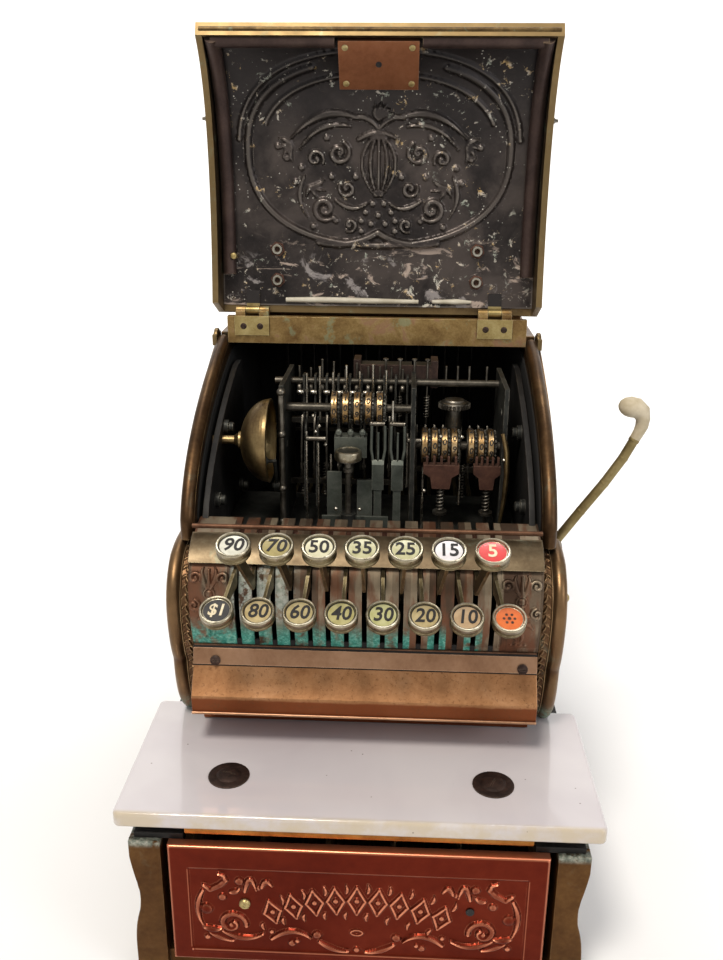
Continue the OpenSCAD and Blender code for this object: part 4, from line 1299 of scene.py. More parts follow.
def drawer_pattern():
    """Scrollwork for the drawer front round an arch of identical lozenges."""
    p = Ornament()
    p.bold = 1.3
    for k in range(-4, 5):
        x = k * 12.4
        y = 6.5 - 0.0042 * x * x
        lozenge(p, x, y, 5.0, 9.5 - 0.35 * abs(k), -k * 4.0)
        p.leaf(x + 6.2, y + 6, 6, 60 - k * 4, 1.1, 1.2)
        p.leaf(x - 6.2, y - 9, 5, 240 - k * 4, 1.1, 1.2)
    bold = dict(height=1.9, mirror=True)
    p.stroke([(-89.7, 14), (-86, 11), (-80, 14.5), (-76.8, 18), (-77.6, 21.5), (-81, 22.6)], 1.6, **bold)
    p.stroke(bezier_points((-90.5, 10), (-97, -3), (-91, -15.7), 12), 1.4, **bold)
    p.dot(-88.8, -3.3, 3.0, 1.9, mirror=True)
    p.stroke(spiral(-73.9, -13.4, 8.6, 1.15, 350, 1, 0.22), 1.5, 1.9, 0.7, mirror=True)
    p.dot(-73.9, -14.6, 1.8, 1.9, mirror=True)
    p.stroke(bezier_points((-79.5, -19), (-67, -28.5), (-55.5, -20.6), 12), 1.6, **bold)
    p.stroke(bezier_points((-90, -17.2), (-85, -19.6), (-80.5, -17.6)), 2.0, **bold)
    p.stroke(bezier_points((-87, -20.6), (-81, -25.5), (-73.5, -26.4)), 1.5, **bold)
    p.dot(-89, -24.4, 1.5, 1.7, mirror=True)
    p.stroke(bezier_points((-65.6, 10.5), (-62.4, 27), (-58.8, 11.5), 12), 1.5, **bold)
    p.dot(-68.6, 17.6, 2.2, 1.8, mirror=True)
    p.stroke(bezier_points((-74, 9.8), (-71, 9.4), (-68.6, 12.4)), 1.6, **bold)
    p.stroke(bezier_points((-55.6, 14), (-53, 21.5), (-49.6, 15)), 1.5, **bold)
    p.dot(-57.6, 13.4, 1.5, 1.7, mirror=True)
    p.dot(-79, 5.8, 2.0, 1.8, mirror=True)
    p.stroke(bezier_points((-50.5, -24), (-38, -12.5), (-27.2, -22.4), 14), 1.5, **bold)
    p.dot(-23.4, -19.6, 2.2, 1.9, mirror=True)
    p.stroke(bezier_points((-21.8, -25), (-14, -31.6), (-5, -31.2), 12), 1.5, **bold)
    p.dot(-38.4, -26.6, 1.9, 1.8, mirror=True)
    p.dot(-35.4, -25, 1.3, 1.6, mirror=True)
    p.dot(-50.4, -18.6, 1.3, 1.6, mirror=True)
    p.stroke(oval(0, -17.2, 3.4, 1.9, n=24), 0.7, 0.8, 1.0)
    p.dot(0, -29.8, 1.6, 1.6)
    return p


def drawer_frame_height(u, v):
    """A raised flat margin round a sunk panel, and a bright ridge along the panel's foot."""
    inside = np.minimum(98.0 - np.abs(u), np.minimum(25.5 - v, v + 34.5))
    margin = np.clip(-inside / 0.7, 0, 1)
    foot = 1.3 * np.exp(-((v + 34.0) / 0.9) ** 2) * (np.abs(u) < 98.5)
    rim = np.clip((np.maximum(np.abs(u) - 108.6, np.abs(v) - 40.2)) / 1.3, 0, 1) ** 2
    return margin + foot - rim * 0.9


def drawer():
    """The drawer's cast face with its screw and a black disc of painted shade for its hole, the tray, its
    runners and lips.
    """
    dress("drawer_tray", OAK)
    dress("drawer_front", RED_COPPER)

    def spot(i, j):
        u, v = -109.9 + 219.8 * i, -41.4 + 82.8 * j
        return (u, v), (u, -197.2, 59.5 + v), (0, -1, 0)
    relief("drawer_face", spot, 400, 150, drawer_pattern(), RED_COPPER, "drawer",
           thick=0.3, extra=drawer_frame_height, plain_back=True)
    screw = Solid().screw((-66, -197.2, 60.7), (0, -1, 0), 3.3, 2.2)
    make("drawer_screw", screw, HINGE, "drawer")
    # A shallow black disc stands for the keyhole: painted shade.
    hole = Solid().lathe((66, -197.6, 61), (0, -1, 0),
                         [(2.5, 0), (2.5, 0.35), (2.2, 0.4), (1.6, 0.1), (0.3, 0.05)], 24)
    make("drawer_hole_shade", hole, INK_AND_SHADE_BLACK, "drawer")
    rails = Solid()
    for side in (-1, 1):
        rails.box(*sorted((side * 108.3, side * 111.2)), -188, 146, 62, 70)
    make("tray_runners", rails, STEEL, "drawer", 0.5)
    lips = Solid()
    for x in (-63, -22, 19, 60):
        lips.tube([(x + 1.5, -186, 70.6), (x + 1.5, -81, 70.6)], 1.7, 10)
    make("tray_lips", lips, OAK, "drawer")


# ---------------------------------------------------------------- lid

def opened(y, z):
    """A point of the closed lid, given in (y, z), moved to the open place."""
    c, s = math.cos(-OPEN_ANGLE), math.sin(-OPEN_ANGLE)
    dy, dz = y - AXIS_Y, z - AXIS_Z
    return AXIS_Y + dy * c - dz * s, AXIS_Z + dy * s + dz * c


SKIN_IN = ((-103, 262), (-91, 332.5), (51, 372.5))
SKIN_OUT = ((-105.5, 262), (-92, 335), (51, 375))
LOCK_AT, LOCK_LEAN = (32.3, 531.5), math.radians(35.5)      # y and z of the open lock case, and its lean


def lid_at(curve, t, inward):
    """Point on a lid curve in the open place, moved inward, and the inward direction."""
    point, tangent = bezier(*curve, t)
    normal = np.array([tangent[1], -tangent[0]])
    point = point + normal * inward
    y, z = opened(*point)
    y1, z1 = opened(*(point + normal))
    return (y, z), (y1 - y, z1 - z)


LENGTHS = run_lengths([bezier(*SKIN_IN, i / 200)[0] for i in range(201)])


def lid_t(share):
    """Curve parameter at a share of the skin's length, so that patterns keep their shape."""
    return float(np.interp(share * LENGTHS[-1], LENGTHS, np.linspace(0, 1, len(LENGTHS))))


def cushion_oval(cx, cy, rx, ry, first, last):
    """Part of an oval with fuller shoulders."""
    fuller, steps = 0.86, 70
    points = []
    for i in range(steps + 1):
        a = math.radians(first + (last - first) * i / steps)
        c, q = math.cos(a), math.sin(a)
        points.append((cx + rx * math.copysign(abs(c) ** fuller, c),
                       cy + ry * math.copysign(abs(q) ** fuller, q)))
    return points


def lid_pattern():
    """Oval cartouche round a vase with scrolls; v runs from the free edge to the hinge."""
    p = Ornament()
    p.bold = 1.35
    p.stroke(cushion_oval(0, 88, 91, 63, -64, 244), 1.9, 1.8, 1.0)
    p.stroke(cushion_oval(0, 90, 82, 55, 200, 340), 1.3, 1.4, 1.0)
    p.stroke(cushion_oval(0, 88, 97, 70, 185, 262), 1.3, 1.2, 1.0)
    p.stroke(cushion_oval(0, 88, 97, 70, 278, 355), 1.3, 1.2, 1.0)
    p.stroke(bezier_points((-42, 149), (-18, 154), (0, 142), 18), 2.2, 1.9, 0.9, mirror=True)
    for x in (0, 5.5, 11):
        petal = bezier_points((x * 0.25, 76), (x * 1.9, 94), (x * 0.2, 117), 16)
        p.stroke(petal, 1.1, 1.6, 0.7, mirror=x > 0)
    p.stroke(bezier_points((-14, 79), (0, 70), (14, 79), 14), 1.7, 1.8, 0.6)
    p.stroke(bezier_points((0, 72), (9, 60), (20, 66)), 1.7, 1.7, mirror=True)
    for k in range(5):
        p.leaf(0, 66, 11, 230 + 20 * k, 1.9, 1.7)
    p.stroke(bezier_points((-16, 64), (-40, 56), (-60, 78), 16), 2.2, 1.8, 0.4, mirror=True)
    p.stroke(bezier_points((-20, 70), (-42, 66), (-55, 86), 16), 1.5, 1.5, 0.4, mirror=True)
    p.scroll(-27.6, 88, 8.0, 300, 1, 1.4, 1.5, 1.7, mirror=True)
    p.scroll(-44, 92, 6.0, 30, -1, 1.3, 1.3, 1.5, mirror=True)
    p.scroll(-38, 126, 8.6, 40, 1, 1.5, 1.7, 1.8, mirror=True)
    p.scroll(-22, 112, 6.0, 200, -1, 1.3, 1.3, 1.6, mirror=True)
    p.stroke(bezier_points((-30, 120), (-18, 130), (-8, 122), 10), 1.5, 1.6, mirror=True)
    p.scroll(-20, 137, 5.0, 120, -1, 1.2, 1.2, 1.5, mirror=True)
    p.stroke(bezier_points((-52, 104), (-60, 118), (-50, 132), 12), 1.4, 1.5, mirror=True)
    for x, y in ((4, 122), (9, 128), (0, 130), (5, 136), (12, 134), (48, 112), (54, 98), (33, 104), (64, 92),
                 (16, 104), (30, 134), (46, 138), (12, 141), (58, 108), (70, 84), (36, 78)):
        p.dot(x, y, 1.9, 1.5, mirror=True)
    for k in range(4):
        p.leaf(46, 110, 9, 30 + 50 * k, 1.4, 1.4, mirror=True)
        p.leaf(60, 84, 10, 300 + 40 * k, 1.5, 1.4, mirror=True)
    return p


def lid_skins():
    """The flaked lining inside the lid and the cast scrollwork outside, which share one pattern."""
    dress("lid_shell", SHELL)
    dress("lid_hinges", LEAF)
    rounded("lock_case", 0.9, LOCK, 3)
    pattern = lid_pattern()
    length = LENGTHS[-1]

    def inside(i, j):
        x, share = -111.8 + 223.6 * i, 0.03 + 0.945 * j
        (y, z), (ny, nz) = lid_at(SKIN_IN, lid_t(share), 0.7)
        return (x, share * length), (x, y, z), (0, ny, nz)
    relief("lid_lining", inside, 214, 190, pattern, LINING, "lid", thick=0.5, gain=1.5)

    def outside(i, j):
        x, share = -108 + 216 * i, 0.07 + 0.88 * j
        (y, z), (ny, nz) = lid_at(SKIN_OUT, lid_t(share), -0.1)
        return (x, share * length), (x, y, z), (0, -ny, -nz)
    relief("lid_outer_ornament", outside, 196, 170, pattern, SHELL, "lid", flip=True,
           thick=0.3, gain=0.6)


def lid_run(x, curve, inward, first, run, steps):
    """Points along one side of the open lid, from first to first + run of the curve's parameter."""
    path = []
    for k in range(steps + 1):
        (y, z), _ = lid_at(curve, first + run * k / steps, inward)
        path.append((x, y, z))
    return path


def lid_edges():
    """The rolls inside the lid's edges, the bright rim and the bead outside."""
    rolls, rims, outer = Solid(), Solid(), Solid()
    for side in (-1, 1):
        rolls.tube(lid_run(side * 106.4, SKIN_IN, 4.2, 0.035, 0.87, 24), 4.8, 16)
        rims.tube(lid_run(side * 114.1, LID_RIM, -2.1, 0.01, 0.98, 28), 1.9, 10)
        outer.tube(lid_run(side * 114.6, SKIN_OUT, 1.6, 0.03, 0.93, 28), 1.5, 8)
    (y, z), _ = lid_at(SKIN_IN, 0.055, 4.0)
    for path in ((-107, -60, -28), (28, 60, 107)):
        rolls.tube([(x, y, z) for x in path], 4.6, 14)
    y, z = opened(-101.2, 262.9)
    rims.tube([(x, y, z) for x in (-114.1, -40, 40, 114.1)], 1.9, 10)
    make("lid_rolls", rolls, ROLL, "lid", angle=60)
    make("lid_rim", rims, RIM, "lid", angle=60)
    make("lid_outer_bead", outer, RIM, "lid", angle=60)


def lid_fittings():
    """Nuts on their collars, the pin, the worn cream strip and the stop pins."""
    nuts, collars = Solid(), Solid()
    for x in (-72, 71):
        for share in (0.775, 0.885):
            (y, z), (ny, nz) = lid_at(SKIN_IN, lid_t(share), 1.0)
            n = (0, ny, nz)
            collars.lathe((x, y, z), n, [(5.4, 0), (5.4, 1.2), (4.8, 1.6)], 6)
            nuts.lathe((x, y, z), n, [(1.9, 1.4), (3.9, 1.4), (3.9, 3.8), (3.4, 4.4), (2.3, 4.4), (1.9, 4.0),
                                      (1.9, 1.4)], 24)
    make("lid_nuts", nuts, BRIGHT, "lid", angle=40)
    make("lid_nut_collars", collars, RUST, "lid", 0.3)
    (y, z), (ny, nz) = lid_at(SKIN_IN, lid_t(0.80), 6.0)
    pin = Solid().lathe((-102.4, y, z), (0, ny, nz),
                        [(1.7, 0), (2.3, 1.4), (2.5, 4.4), (2.0, 5.4), (0.8, 5.8)], 18)
    make("lid_pin", pin, HINGE, "lid")
    (y, z), _ = lid_at(SKIN_IN, lid_t(0.955), 2.6)
    strip = Solid().tube([(-66, y, z), (-40, y, z + 0.3), (-6, y, z), (30, y, z - 0.2)],
                         [1.7, 2.1, 2.0, 1.4], 10)
    strip.tube([(40, y, z), (58, y, z + 0.2), (68, y, z)], [1.2, 2.0, 1.0], 10)
    make("lid_cream_strip", strip, CREAM, "lid", angle=60)
    (y, z), _ = lid_at(SKIN_OUT, 0.42, 8.0)
    stops = Solid()
    for side in (-1, 1):
        stops.lathe((side * 116.0, y, z), (side, 0, 0), [(2.2, 0), (2.0, 1.8), (1.2, 2.6), (1.0, 4.2)], 16)
    make("lid_stop_pins", stops, STEEL, "lid")


def lock_details():
    """Four screws and the keyhole, a black disc of painted shade, on the lock case's leaning face."""
    turn = Matrix.Rotation(LOCK_LEAN, 3, "X")
    out = turn @ Vector((0, -1, 0))
    screws = Solid()
    for x in (-21.5, 21.5):
        for h in (-12.5, 12.5):
            spot = Vector((x, *LOCK_AT)) + turn @ Vector((0, -2.5, h))
            screws.screw(spot, out, 2.1, 0.9)
    make("lock_screws", screws, HINGE, "lid")
    # The keyhole is a shallow black disc: painted shade.
    spot = Vector((0, *LOCK_AT)) + turn @ Vector((0, -2.55, 1))
    hole = Solid().lathe(spot, out, [(2.0, 0), (2.0, 0.25), (1.7, 0.3), (1.5, 0.05), (0.2, 0)], 20)
    make("lock_keyhole_shade", hole, INK_AND_SHADE_BLACK, "lid")


def hinge_bar():
    """The yellow bar behind the lid, with the hinge's leaves and screws."""
    rounded("hinge_bar", 0.6, BAR)
    screws = Solid()
    for x in (78.5, 91.5, -84, -96):
        screws.screw((x, 43.9, 357.5), (0, -1, 0), 2.5, 1.0)
    make("hinge_screws", screws, BOLT, "cabinet")
    leaves = Solid()
    for x in (-90, 85):
        leaves.box(x - 12.6, x + 12.6, 43.3, 44.2, 350.8, 364.8)
    make("hinge_leaves", leaves, HINGE, "cabinet", 0.3)


# ---------------------------------------------------------------- indicator housing and back

def rear():
    """The indicator housing with its window and trim, the back cover with its ornament, and a black sheet of
    painted shade inside the cover.
    """
    rounded("indicator_box", 1.2, PANEL, 3)
    rounded("rear_cover", 0.8, PANEL)
    dress("window_glass", GLASS)
    trim = Solid()
    for y in (68 - 0.4, 190 + 0.4):
        window = [(-96, 394), (96, 394), (96, 424), (-96, 424)]
        for a, b in zip(window, window[1:] + window[:1]):
            trim.tube([(a[0], y, a[1]), (b[0], y, b[1])], 1.9, 10)
        for x, z in window:
            trim.ball((x, y, z), 2.6)
    for z in (352, 386):
        loop = [(-105.6, 68.4), (105.6, 68.4), (105.6, 189.6), (-105.6, 189.6), (-105.6, 68.4)]
        for a, b in zip(loop, loop[1:]):
            trim.tube([(a[0], a[1], z), (b[0], b[1], z)], 1.4, 8)
    make("indicator_trim", trim, BELL, "cabinet", angle=60)
    pattern = Ornament()
    for k in range(-3, 4):
        pattern.scroll(k * 26, 0, 7.5, 90 + 180 * (k % 2), 1 if k % 2 else -1, 1.4, 1.2, 1.0)
        pattern.stroke(bezier_points((k * 26 + 7, -3), (k * 26 + 13, 8), (k * 26 + 19, -3)), 1.1, 0.9)
        pattern.dot(k * 26 + 13, -5, 1.2, 0.9)

    def band(i, j):
        u, v = -98 + 196 * i, -11 + 22 * j
        return (u, v), (u, 190.3, 369 + v), (0, 1, 0)
    relief("indicator_ornament", band, 280, 36, pattern, SHELL, "cabinet", flip=True, thick=0.2,
           plain_back=True)

    def cover(i, j):
        u, v = -88 + 176 * i, -68 + 136 * j
        return (u * 1.12, 92 - v), (u, 194.85, 230 + v), (0, 1, 0)
    relief("rear_ornament", cover, 190, 150, lid_pattern(), SHELL, "cabinet", flip=True,
           thick=0.2, gain=0.55, plain_back=True)
    # A black sheet inside the back cover: painted shade behind the mechanism.
    make("rear_shade_sheet", Solid().box(-107, 107, 189.6, 190.3, 116, 343), SHADE_BLACK, "cabinet")
    screws = Solid()
    for x in (-100, 100):
        for z in (124, 230, 336):
            screws.screw((x, 193.4, z), (0, 1, 0), 2.6, 1.3)
    make("rear_screws", screws, BOLT, "cabinet")


# ---------------------------------------------------------------- mechanism

RESET_AT = (-15, -40)                  # x and y of the reset plunger
CROWN_AT = (56.5, 10)                  # x and y of the crown wheel
BELL_Y, BELL_Z = -30, 294
HAMMER_BALL = (-72, -41.27, 283.19)


def gear(solid, centre, axis, radius, thick, teeth, depth):
    """A toothed disc."""
    axis, across, up = axes_of(axis)
    outline = []
    for k in range(teeth):
        for step, r in ((0.0, radius - depth), (0.3, radius - depth), (0.45, radius), (0.75, radius)):
            a = 2 * math.pi * (k + step) / teeth
            outline.append((r * math.cos(a), r * math.sin(a)))
    solid.prism(outline, lambda a, b, h: Vector(centre) + across * a + up * b + axis * h, thick)


def number_wheels(body, groups, pitch, radius, y, z, digits):
    """Bright numbered bands between dark ratchets on a sleeve, which stand for the body's CAD wheels."""
    bands, dark, ink = Solid(), Solid(), Solid()
    band = [(radius - 4, 0.4), (radius - 0.5, 0.4), (radius - 0.1, 0.8), (radius - 0.1, 3.9),
            (radius - 0.5, 4.3), (radius - 4, 4.3), (radius - 4, 0.4)]
    for x0, count in groups:
        length = count * pitch - 0.9
        sleeve = [(3.3, 0), (radius - 3.6, 0), (radius - 3.6, length), (3.3, length), (3.3, 0)]
        dark.lathe((x0 + 0.2, y, z), (1, 0, 0), sleeve, 32)
        for k in range(count):
            x = x0 + k * pitch + 0.3
            bands.lathe((x, y, z), (1, 0, 0), band, 40)
            gear(dark, (x + 5.0, y, z), (1, 0, 0), radius - 1.0, 0.9, 20, 1.7)
            for m, mesh in enumerate(digits):
                a = 2 * math.pi * (m + 0.37 * k) / 10
                out, up = Vector((0, -math.cos(a), math.sin(a))), Vector((0, math.sin(a), math.cos(a)))
                turn = facing((1, 0, 0), up, out)
                centre = Vector((x + 2.35, y, z)) + out * (radius - 0.15)
                ink.add([centre + turn @ (v.co / MM) for v in mesh.vertices],
                        [tuple(f.vertices) for f in mesh.polygons])
    make(body + "_bands", bands, WHEEL, body, angle=40, replaces=(body,))
    make(body + "_ratchets", dark, MECH, body, angle=40)
    make(body + "_digits", ink, INK_AND_SHADE_BLACK, body, angle=60)


def mech_castings():
    """The mechanism's CAD parts that show as they are."""
    rounded("mech_frame", 0.4, MECH)
    dress("key_shaft", STEEL)
    dress("cross_rods", OILY)
    dress("bell", BELL)
    dress("bell_hammer", MECH)
    dress("reset_plunger", STEEL)


def mech_pins():
    """Upright pins behind the wheels, some through a small roller."""
    pins = Solid()
    for x in range(-52, 24, 8):
        top = random.uniform(334, 342)
        pins.tube([(x, 10, 318), (x, 10, top)], 0.75, 8)
        pins.lathe((x, 10, 321), (1, 0, 0), [(2.9, -1.4), (3.3, -1.0), (3.3, 1.0), (2.9, 1.4)], 18)
    for x in (50, 58, 66, 78):
        pins.tube([(x, 10, 326), (x, 10, 336 + (x % 4))], 0.75, 8)
    for x in (8, 18, 28, 37):
        pins.tube([(x, 12.5, 296), (x, 12.5, 341)], 0.7, 8)
        pins.lathe((x, 12.5, 341), (0, 0, 1), [(0.7, 0), (1.9, 0.4), (1.9, 1.1), (1.0, 1.5)], 14)
    make("mech_pins", pins, STEEL, "cabinet", angle=50)


def mech_plates():
    """Upright plates between the pins and two curved ones in front."""
    plates = Solid()
    for k, x in enumerate(range(-52, 24, 8)):
        low = 262 + (k * 7) % 17
        outline = [(4, low), (12, low), (15, 306), (14, 331), (6, 331), (3, 306)]
        plates.plate_x(outline, x + 2.6, x + 4.0)
    for x in (-46, -38):
        outline = [(-26, 246), (-14, 244), (-8, 270), (-4, 296), (-10, 306), (-18, 300), (-24, 272)]
        plates.plate_x(outline, x, x + 1.3)
    make("mech_plates", plates, MECH, "cabinet", 0.25)


def mech_top_bar():
    """The flat bar across the top with its two end blocks."""
    bar = Solid().box(-14, 44, 13.2, 14.6, 322.5, 337.5)
    bar.box(-14.4, -9.5, 12.6, 29, 321.5, 341)
    bar.box(39.5, 44.4, 12.6, 29, 321.5, 341)
    make("mech_top_bar", bar, BOLT, "cabinet", 0.5)


def mech_springs():
    """Coil springs on the pins, on two posts and between the plates."""
    springs = Solid()
    for x in (8, 18, 28, 37):
        springs.coil((x, 12.5, 300), (x, 12.5, 316), 1.9, 0.38, 8)
    for x in (47, 78):
        springs.coil((x, -31, 247), (x, -31, 262), 2.3, 0.55, 6)
        springs.lathe((x, -31, 230), (0, 0, 1),
                      [(1.2, 0), (1.2, 14), (4.8, 15), (4.8, 17), (1.2, 17.4), (1.2, 33)], 18)
    for x in (-50, -34, 64):
        springs.coil((x, 2, 244), (x, 6, 268), 1.7, 0.36, 12)
    make("mech_springs", springs, STEEL, "cabinet", angle=60)


def mech_carriage():
    """The green-grey carriage in front with its three clips and side arms."""
    green = Solid().box(-25, -3, -30.3, -28.3, 283, 297.5)
    green.box(-25, -3, -28.3, -20, 296, 298)
    for x in (-22, -14, -6):
        green.lathe((x, -30.3, 300.5), (0, -1, 0), [(2.2, -2), (2.2, 0.4), (1.4, 0.9)], 16)
        green.box(x - 1.0, x + 1.0, -30.3, -28.6, 297, 303)
    green.plate_x([(-36, 231), (-34, 231), (-33, 262), (-34, 275), (-36, 275)], -29.5, -19.5)
    green.plate_x([(-34, 231), (-32, 231), (-30, 268), (-33, 268)], -9.5, 1.0)
    green.box(-33, 12, -38, -36, 231, 244)
    make("mech_carriage", green, GREEN_IRON, "cabinet", 0.4)


def mech_pawls():
    """Two U-shaped pawls with their stems and feet."""
    pawls = Solid()
    for x in (4.6, 17.6):
        left = [(x - 4.4, -31, 306), (x - 4.6, -32, 290), (x - 3.2, -32.5, 281), (x, -33, 277)]
        right = [(2 * x - p[0], p[1], p[2]) for p in reversed(left[:-1])]
        pawls.tube(left + right, 1.05, 8)
        pawls.tube([(x, -33, 279), (x, -32.5, 302)], 0.8, 8)
        pawls.plate_x([(-35, 262), (-32, 262), (-31.6, 280), (-33, 283), (-35, 280)], x - 4.0, x + 4.0)
        pawls.plate_x([(-34, 232), (-32, 232), (-31.6, 262), (-34, 262)], x - 2.6, x + 2.6)
    make("mech_pawls", pawls, GREEN_IRON, "cabinet", 0.3)


def mech_posts():
    """Short cross pins and two tall posts."""
    yokes = Solid()
    for x0, x1, z in ((0, 8.5, 307), (13, 22, 307), (25, 33, 296), (-43, -31, 296)):
        yokes.tube([(x0, -30, z), (x1, -30, z)], 1.7, 12)
        yokes.ball((x0, -30, z), 2.0)
    yokes.tube([(27.5, -30, 231), (27.5, -30, 296)], 2.4, 12)
    yokes.tube([(-59.5, -35.6, 232), (-59.5, -35.6, 331)], 2.0, 12)
    for z in (238, 262, 300, 329):
        yokes.ball((-59.5, -35.6, z), 2.9)
    make("mech_posts", yokes, STEEL, "cabinet", angle=60)


def mech_brackets():
    """Two notched brackets in front of the right wheels."""
    brackets = Solid()
    for x, half in ((47, 12), (77.5, 9)):
        front = [(x - half, 281), (x - half, 275), (x - half * 0.6, 272), (x - half * 0.5, 264),
                 (x + half * 0.5, 264), (x + half * 0.6, 272), (x + half, 275), (x + half, 281)]
        brackets.prism(front, lambda a, b, h: (a, -36 + h, b), 7)
        for k in range(5):
            px = x - half * 0.8 + k * half * 0.4
            brackets.box(px - 0.8, px + 0.8, -36, -33, 281, 287)
    make("mech_brackets", brackets, RUST, "cabinet", 0.5)


def mech_crown():
    """The crown wheel on its stem."""
    crown = Solid()
    gear(crown, (*CROWN_AT, 309), (0, 0, 1), 11.2, 3.0, 26, 2.0)
    crown.lathe((*CROWN_AT, 311.9), (0, 0, 1), [(9.8, 0), (9.4, 1.0), (7.6, 1.5), (6.8, 2.6), (2, 3.0)], 32)
    crown.lathe((*CROWN_AT, 286), (0, 0, 1), [(6.0, 0), (6.0, 20), (4.8, 23)], 24)
    make("mech_crown_wheel", crown, STEEL, "cabinet", angle=40)


def mech_curved_arm():
    """The curved arm at the right with its two studs."""
    curved = Solid()
    path = [(87.5, -37.4, 242), (89.5, -37.4, 258), (90.4, -37.4, 276), (89.4, -37.4, 292),
            (86.4, -37.0, 304)]
    curved.tube(path, [1.2, 1.7, 1.9, 1.8, 1.2], 10)
    curved.tube([(88, -37.2, 246), (88, -33.8, 246)], 1.2, 8)
    curved.tube([(88.4, -37.0, 298), (88.4, -33.8, 298)], 1.2, 8)
    make("mech_curved_arm", curved, BELL, "cabinet", angle=60)


def mech_studs():
    """Bright rollers, ball heads and thin rods."""
    studs = Solid()
    for k in range(7):
        x = -51 + 9.2 * k
        studs.lathe((x, 3.2, 319.5), (1, 0, 0), [(1.5, -2.3), (1.8, -2.0), (1.8, 2.0), (1.5, 2.3)], 16)
        studs.tube([(x + 4.6, 2.4, 300), (x + 4.6, 2.8, 333 + (k * 5) % 9)], 1.0, 8)
    for x, y, z in ((-38, -24, 299), (-35.5, -24, 303), (-31, -27, 291), (-40, -20, 309), (-24, -33.5, 252),
                    (-7, -43, 251), (-23, -43, 251), (46, -33, 300), (60, -33, 300), (36, -34, 262),
                    (88, -37.6, 286)):
        studs.ball((x, y, z), 1.5, 1.0, 12)
    for x, z0, z1 in ((-44, 232, 300), (-36, 232, 292), (-27.5, 262, 284), (14, 306, 322), (24, 262, 300),
                      (35, 232, 276), (60, 250, 272)):
        studs.tube([(x, -27, z0), (x, -26.4, z1)], 0.9, 8)
    make("mech_studs", studs, BRIGHT, "cabinet", angle=60)


def mech_links():
    """Rows of curved links and the bars that they hang on."""
    links = Solid()
    for k in range(8):
        x = -50 + 8.7 * k
        links.plate_x([(-8, 262), (-4, 262), (1, 286), (4, 300), (1, 304), (-4, 298), (-9, 280)], x, x + 1.2)
        links.lathe((x + 0.6, -3, 268), (1, 0, 0), [(2.2, -1.6), (2.6, -1.2), (2.6, 1.2), (2.2, 1.6)], 16)
    for k in range(9):
        x = 30 + 6.2 * k
        links.plate_x([(4, 258), (8, 258), (12, 284), (9, 296), (5, 290)], x, x + 1.2)
    links.box(-58, -20, 8, 12, 296, 300)
    links.box(-58, 26, -2, 0, 254, 258)
    links.box(29, 88, 6, 9, 262, 266)
    make("mech_links", links, OILY, "cabinet", 0.2)


def mech_front_beam():
    """The rusty beam along the front with its bolts."""
    beam = Solid().box(-88, 92, -56.5, -53, 229.5, 241)
    beam.box(-70, 30, -60, -56.5, 229.5, 236)
    for x in (-79, -47, -30, 30, 62, 84):
        beam.lathe((x, -56.5, 236), (0, -1, 0), [(3.0, 0), (3.0, 1.2), (2.0, 2.0)], 16)
    make("mech_front_beam", beam, RUST, "cabinet", 0.6)


def wheels():
    """Both banks of number wheels."""
    digits = [text_mesh("digit", str(n), 5.6, 0.5, 0.1, 0.1) for n in range(10)]
    number_wheels("wheels_left", [(-28, 5)], 7.6, 11, -20, 315, digits)
    number_wheels("wheels_right", [(33, 4), (64, 3)], 6.6, 12, -20, 290, digits)
    for mesh in digits:
        bpy.data.meshes.remove(mesh)


def reset_knob():
    """The reset plunger's round knob with its dark recess, and its collar."""
    knob = Solid().lathe((*RESET_AT, 284.6), (0, 0, 1),
                         [(7.4, 0), (8.9, 0.8), (9.1, 2.0), (9.1, 5.2), (8.6, 6.6), (7.6, 7.1), (7.0, 6.9),
                          (6.8, 5.4), (1, 5.5)], 40)
    recess = Solid().lathe((*RESET_AT, 289.9), (0, 0, 1), [(6.9, 0), (6.9, 0.5), (5.5, 0.8), (0.5, 1.1)], 32)
    make("reset_recess", recess, BOLT, "reset_plunger", angle=40)
    make("reset_knob", knob, KEY_RING, "reset_plunger", angle=40)
    collar = Solid().lathe((*RESET_AT, 276), (0, 0, 1),
                           [(2.6, 0), (3.6, 1), (3.6, 3), (2.6, 4), (2.3, 8.4)], 24)
    make("reset_collar", collar, STEEL, "reset_plunger", angle=40)


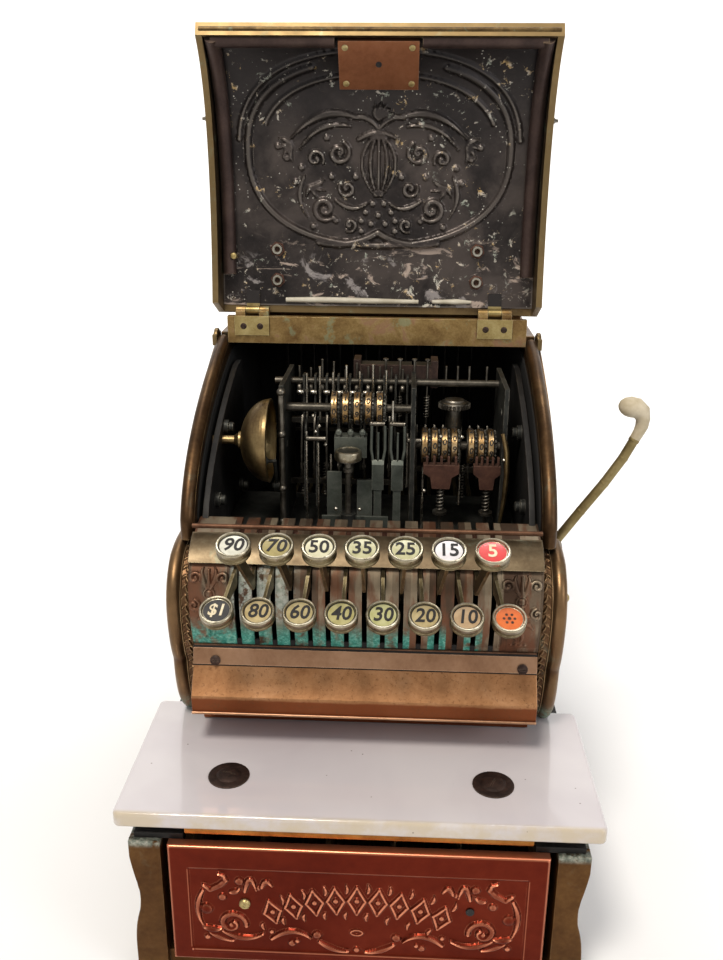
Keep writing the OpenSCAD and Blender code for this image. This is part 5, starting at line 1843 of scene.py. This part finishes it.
def bell_trim():
    """The hammer's red ball, and the bell's bead and boss."""
    make("hammer_head", Solid().ball(HAMMER_BALL, 4.0, 1.0, 20), RED_BALL, "bell_hammer",
         angle=80)
    bead = Solid()
    bead.lathe((-68, BELL_Y, BELL_Z), (1, 0, 0), [(26.1, -0.6), (28.2, -0.6), (28.3, 0.2), (27.6, 0.6),
                                                  (26.4, 0.6), (26.1, -0.6)], 60)
    bead.lathe((-87.6, BELL_Y, BELL_Z), (-1, 0, 0), [(6.0, -0.8), (6.0, 1.4), (4.6, 2.4), (3.2, 4.6)], 24)
    make("bell_bead", bead, BELL, "cabinet", angle=50)


# ---------------------------------------------------------------- hand lever

LEVER_Y = -35
LEVER_HEAD = [(172.6, 302.1, 3.5), (174.6, 306.4, 3.7), (176.1, 310.6, 4.2), (176.5, 315.2, 4.6),
              (175.0, 319.8, 5.9), (171.2, 322.6, 6.9), (167.4, 323.4, 6.8), (164.0, 323.4, 5.9),
              (161.6, 323.2, 4.2), (160.2, 323.0, 1.8)]     # x, z and radius along the bent head


def hand_lever():
    """The pale arm's off-white head, its ferrule and the screw that it turns on."""
    dress("side_lever", ARM)
    head = Solid().tube([(x, LEVER_Y, z) for x, z, _ in LEVER_HEAD], [r for _, _, r in LEVER_HEAD], 24)
    make("lever_head", head, GRIP, "side_lever", angle=70, replaces=("lever_grip",))
    ferrule = Solid().lathe((171.5, LEVER_Y, 299.8), (0.425, 0, 0.905),
                            [(3.3, 0), (3.6, 0.5), (3.6, 2.0), (3.4, 2.6)], 24)
    make("lever_ferrule", ferrule, ARM, "side_lever")
    boss = Solid().lathe((129.2, LEVER_Y, 222), (1, 0, 0), [(5.4, 0), (5.4, 0.8), (4.2, 1.6), (1.2, 1.8)], 28)
    make("lever_screw", boss, STEEL, "side_lever")


base_pieces()
cheeks()
side_panels()
keyboard()
keys()
flags()
drawer()
lid_skins()
lid_edges()
lid_fittings()
lock_details()
hinge_bar()
rear()
mech_castings()
mech_pins()
mech_plates()
mech_top_bar()
mech_springs()
mech_carriage()
mech_pawls()
mech_posts()
mech_brackets()
mech_crown()
mech_curved_arm()
mech_studs()
mech_links()
mech_front_beam()
wheels()
reset_knob()
bell_trim()
hand_lever()
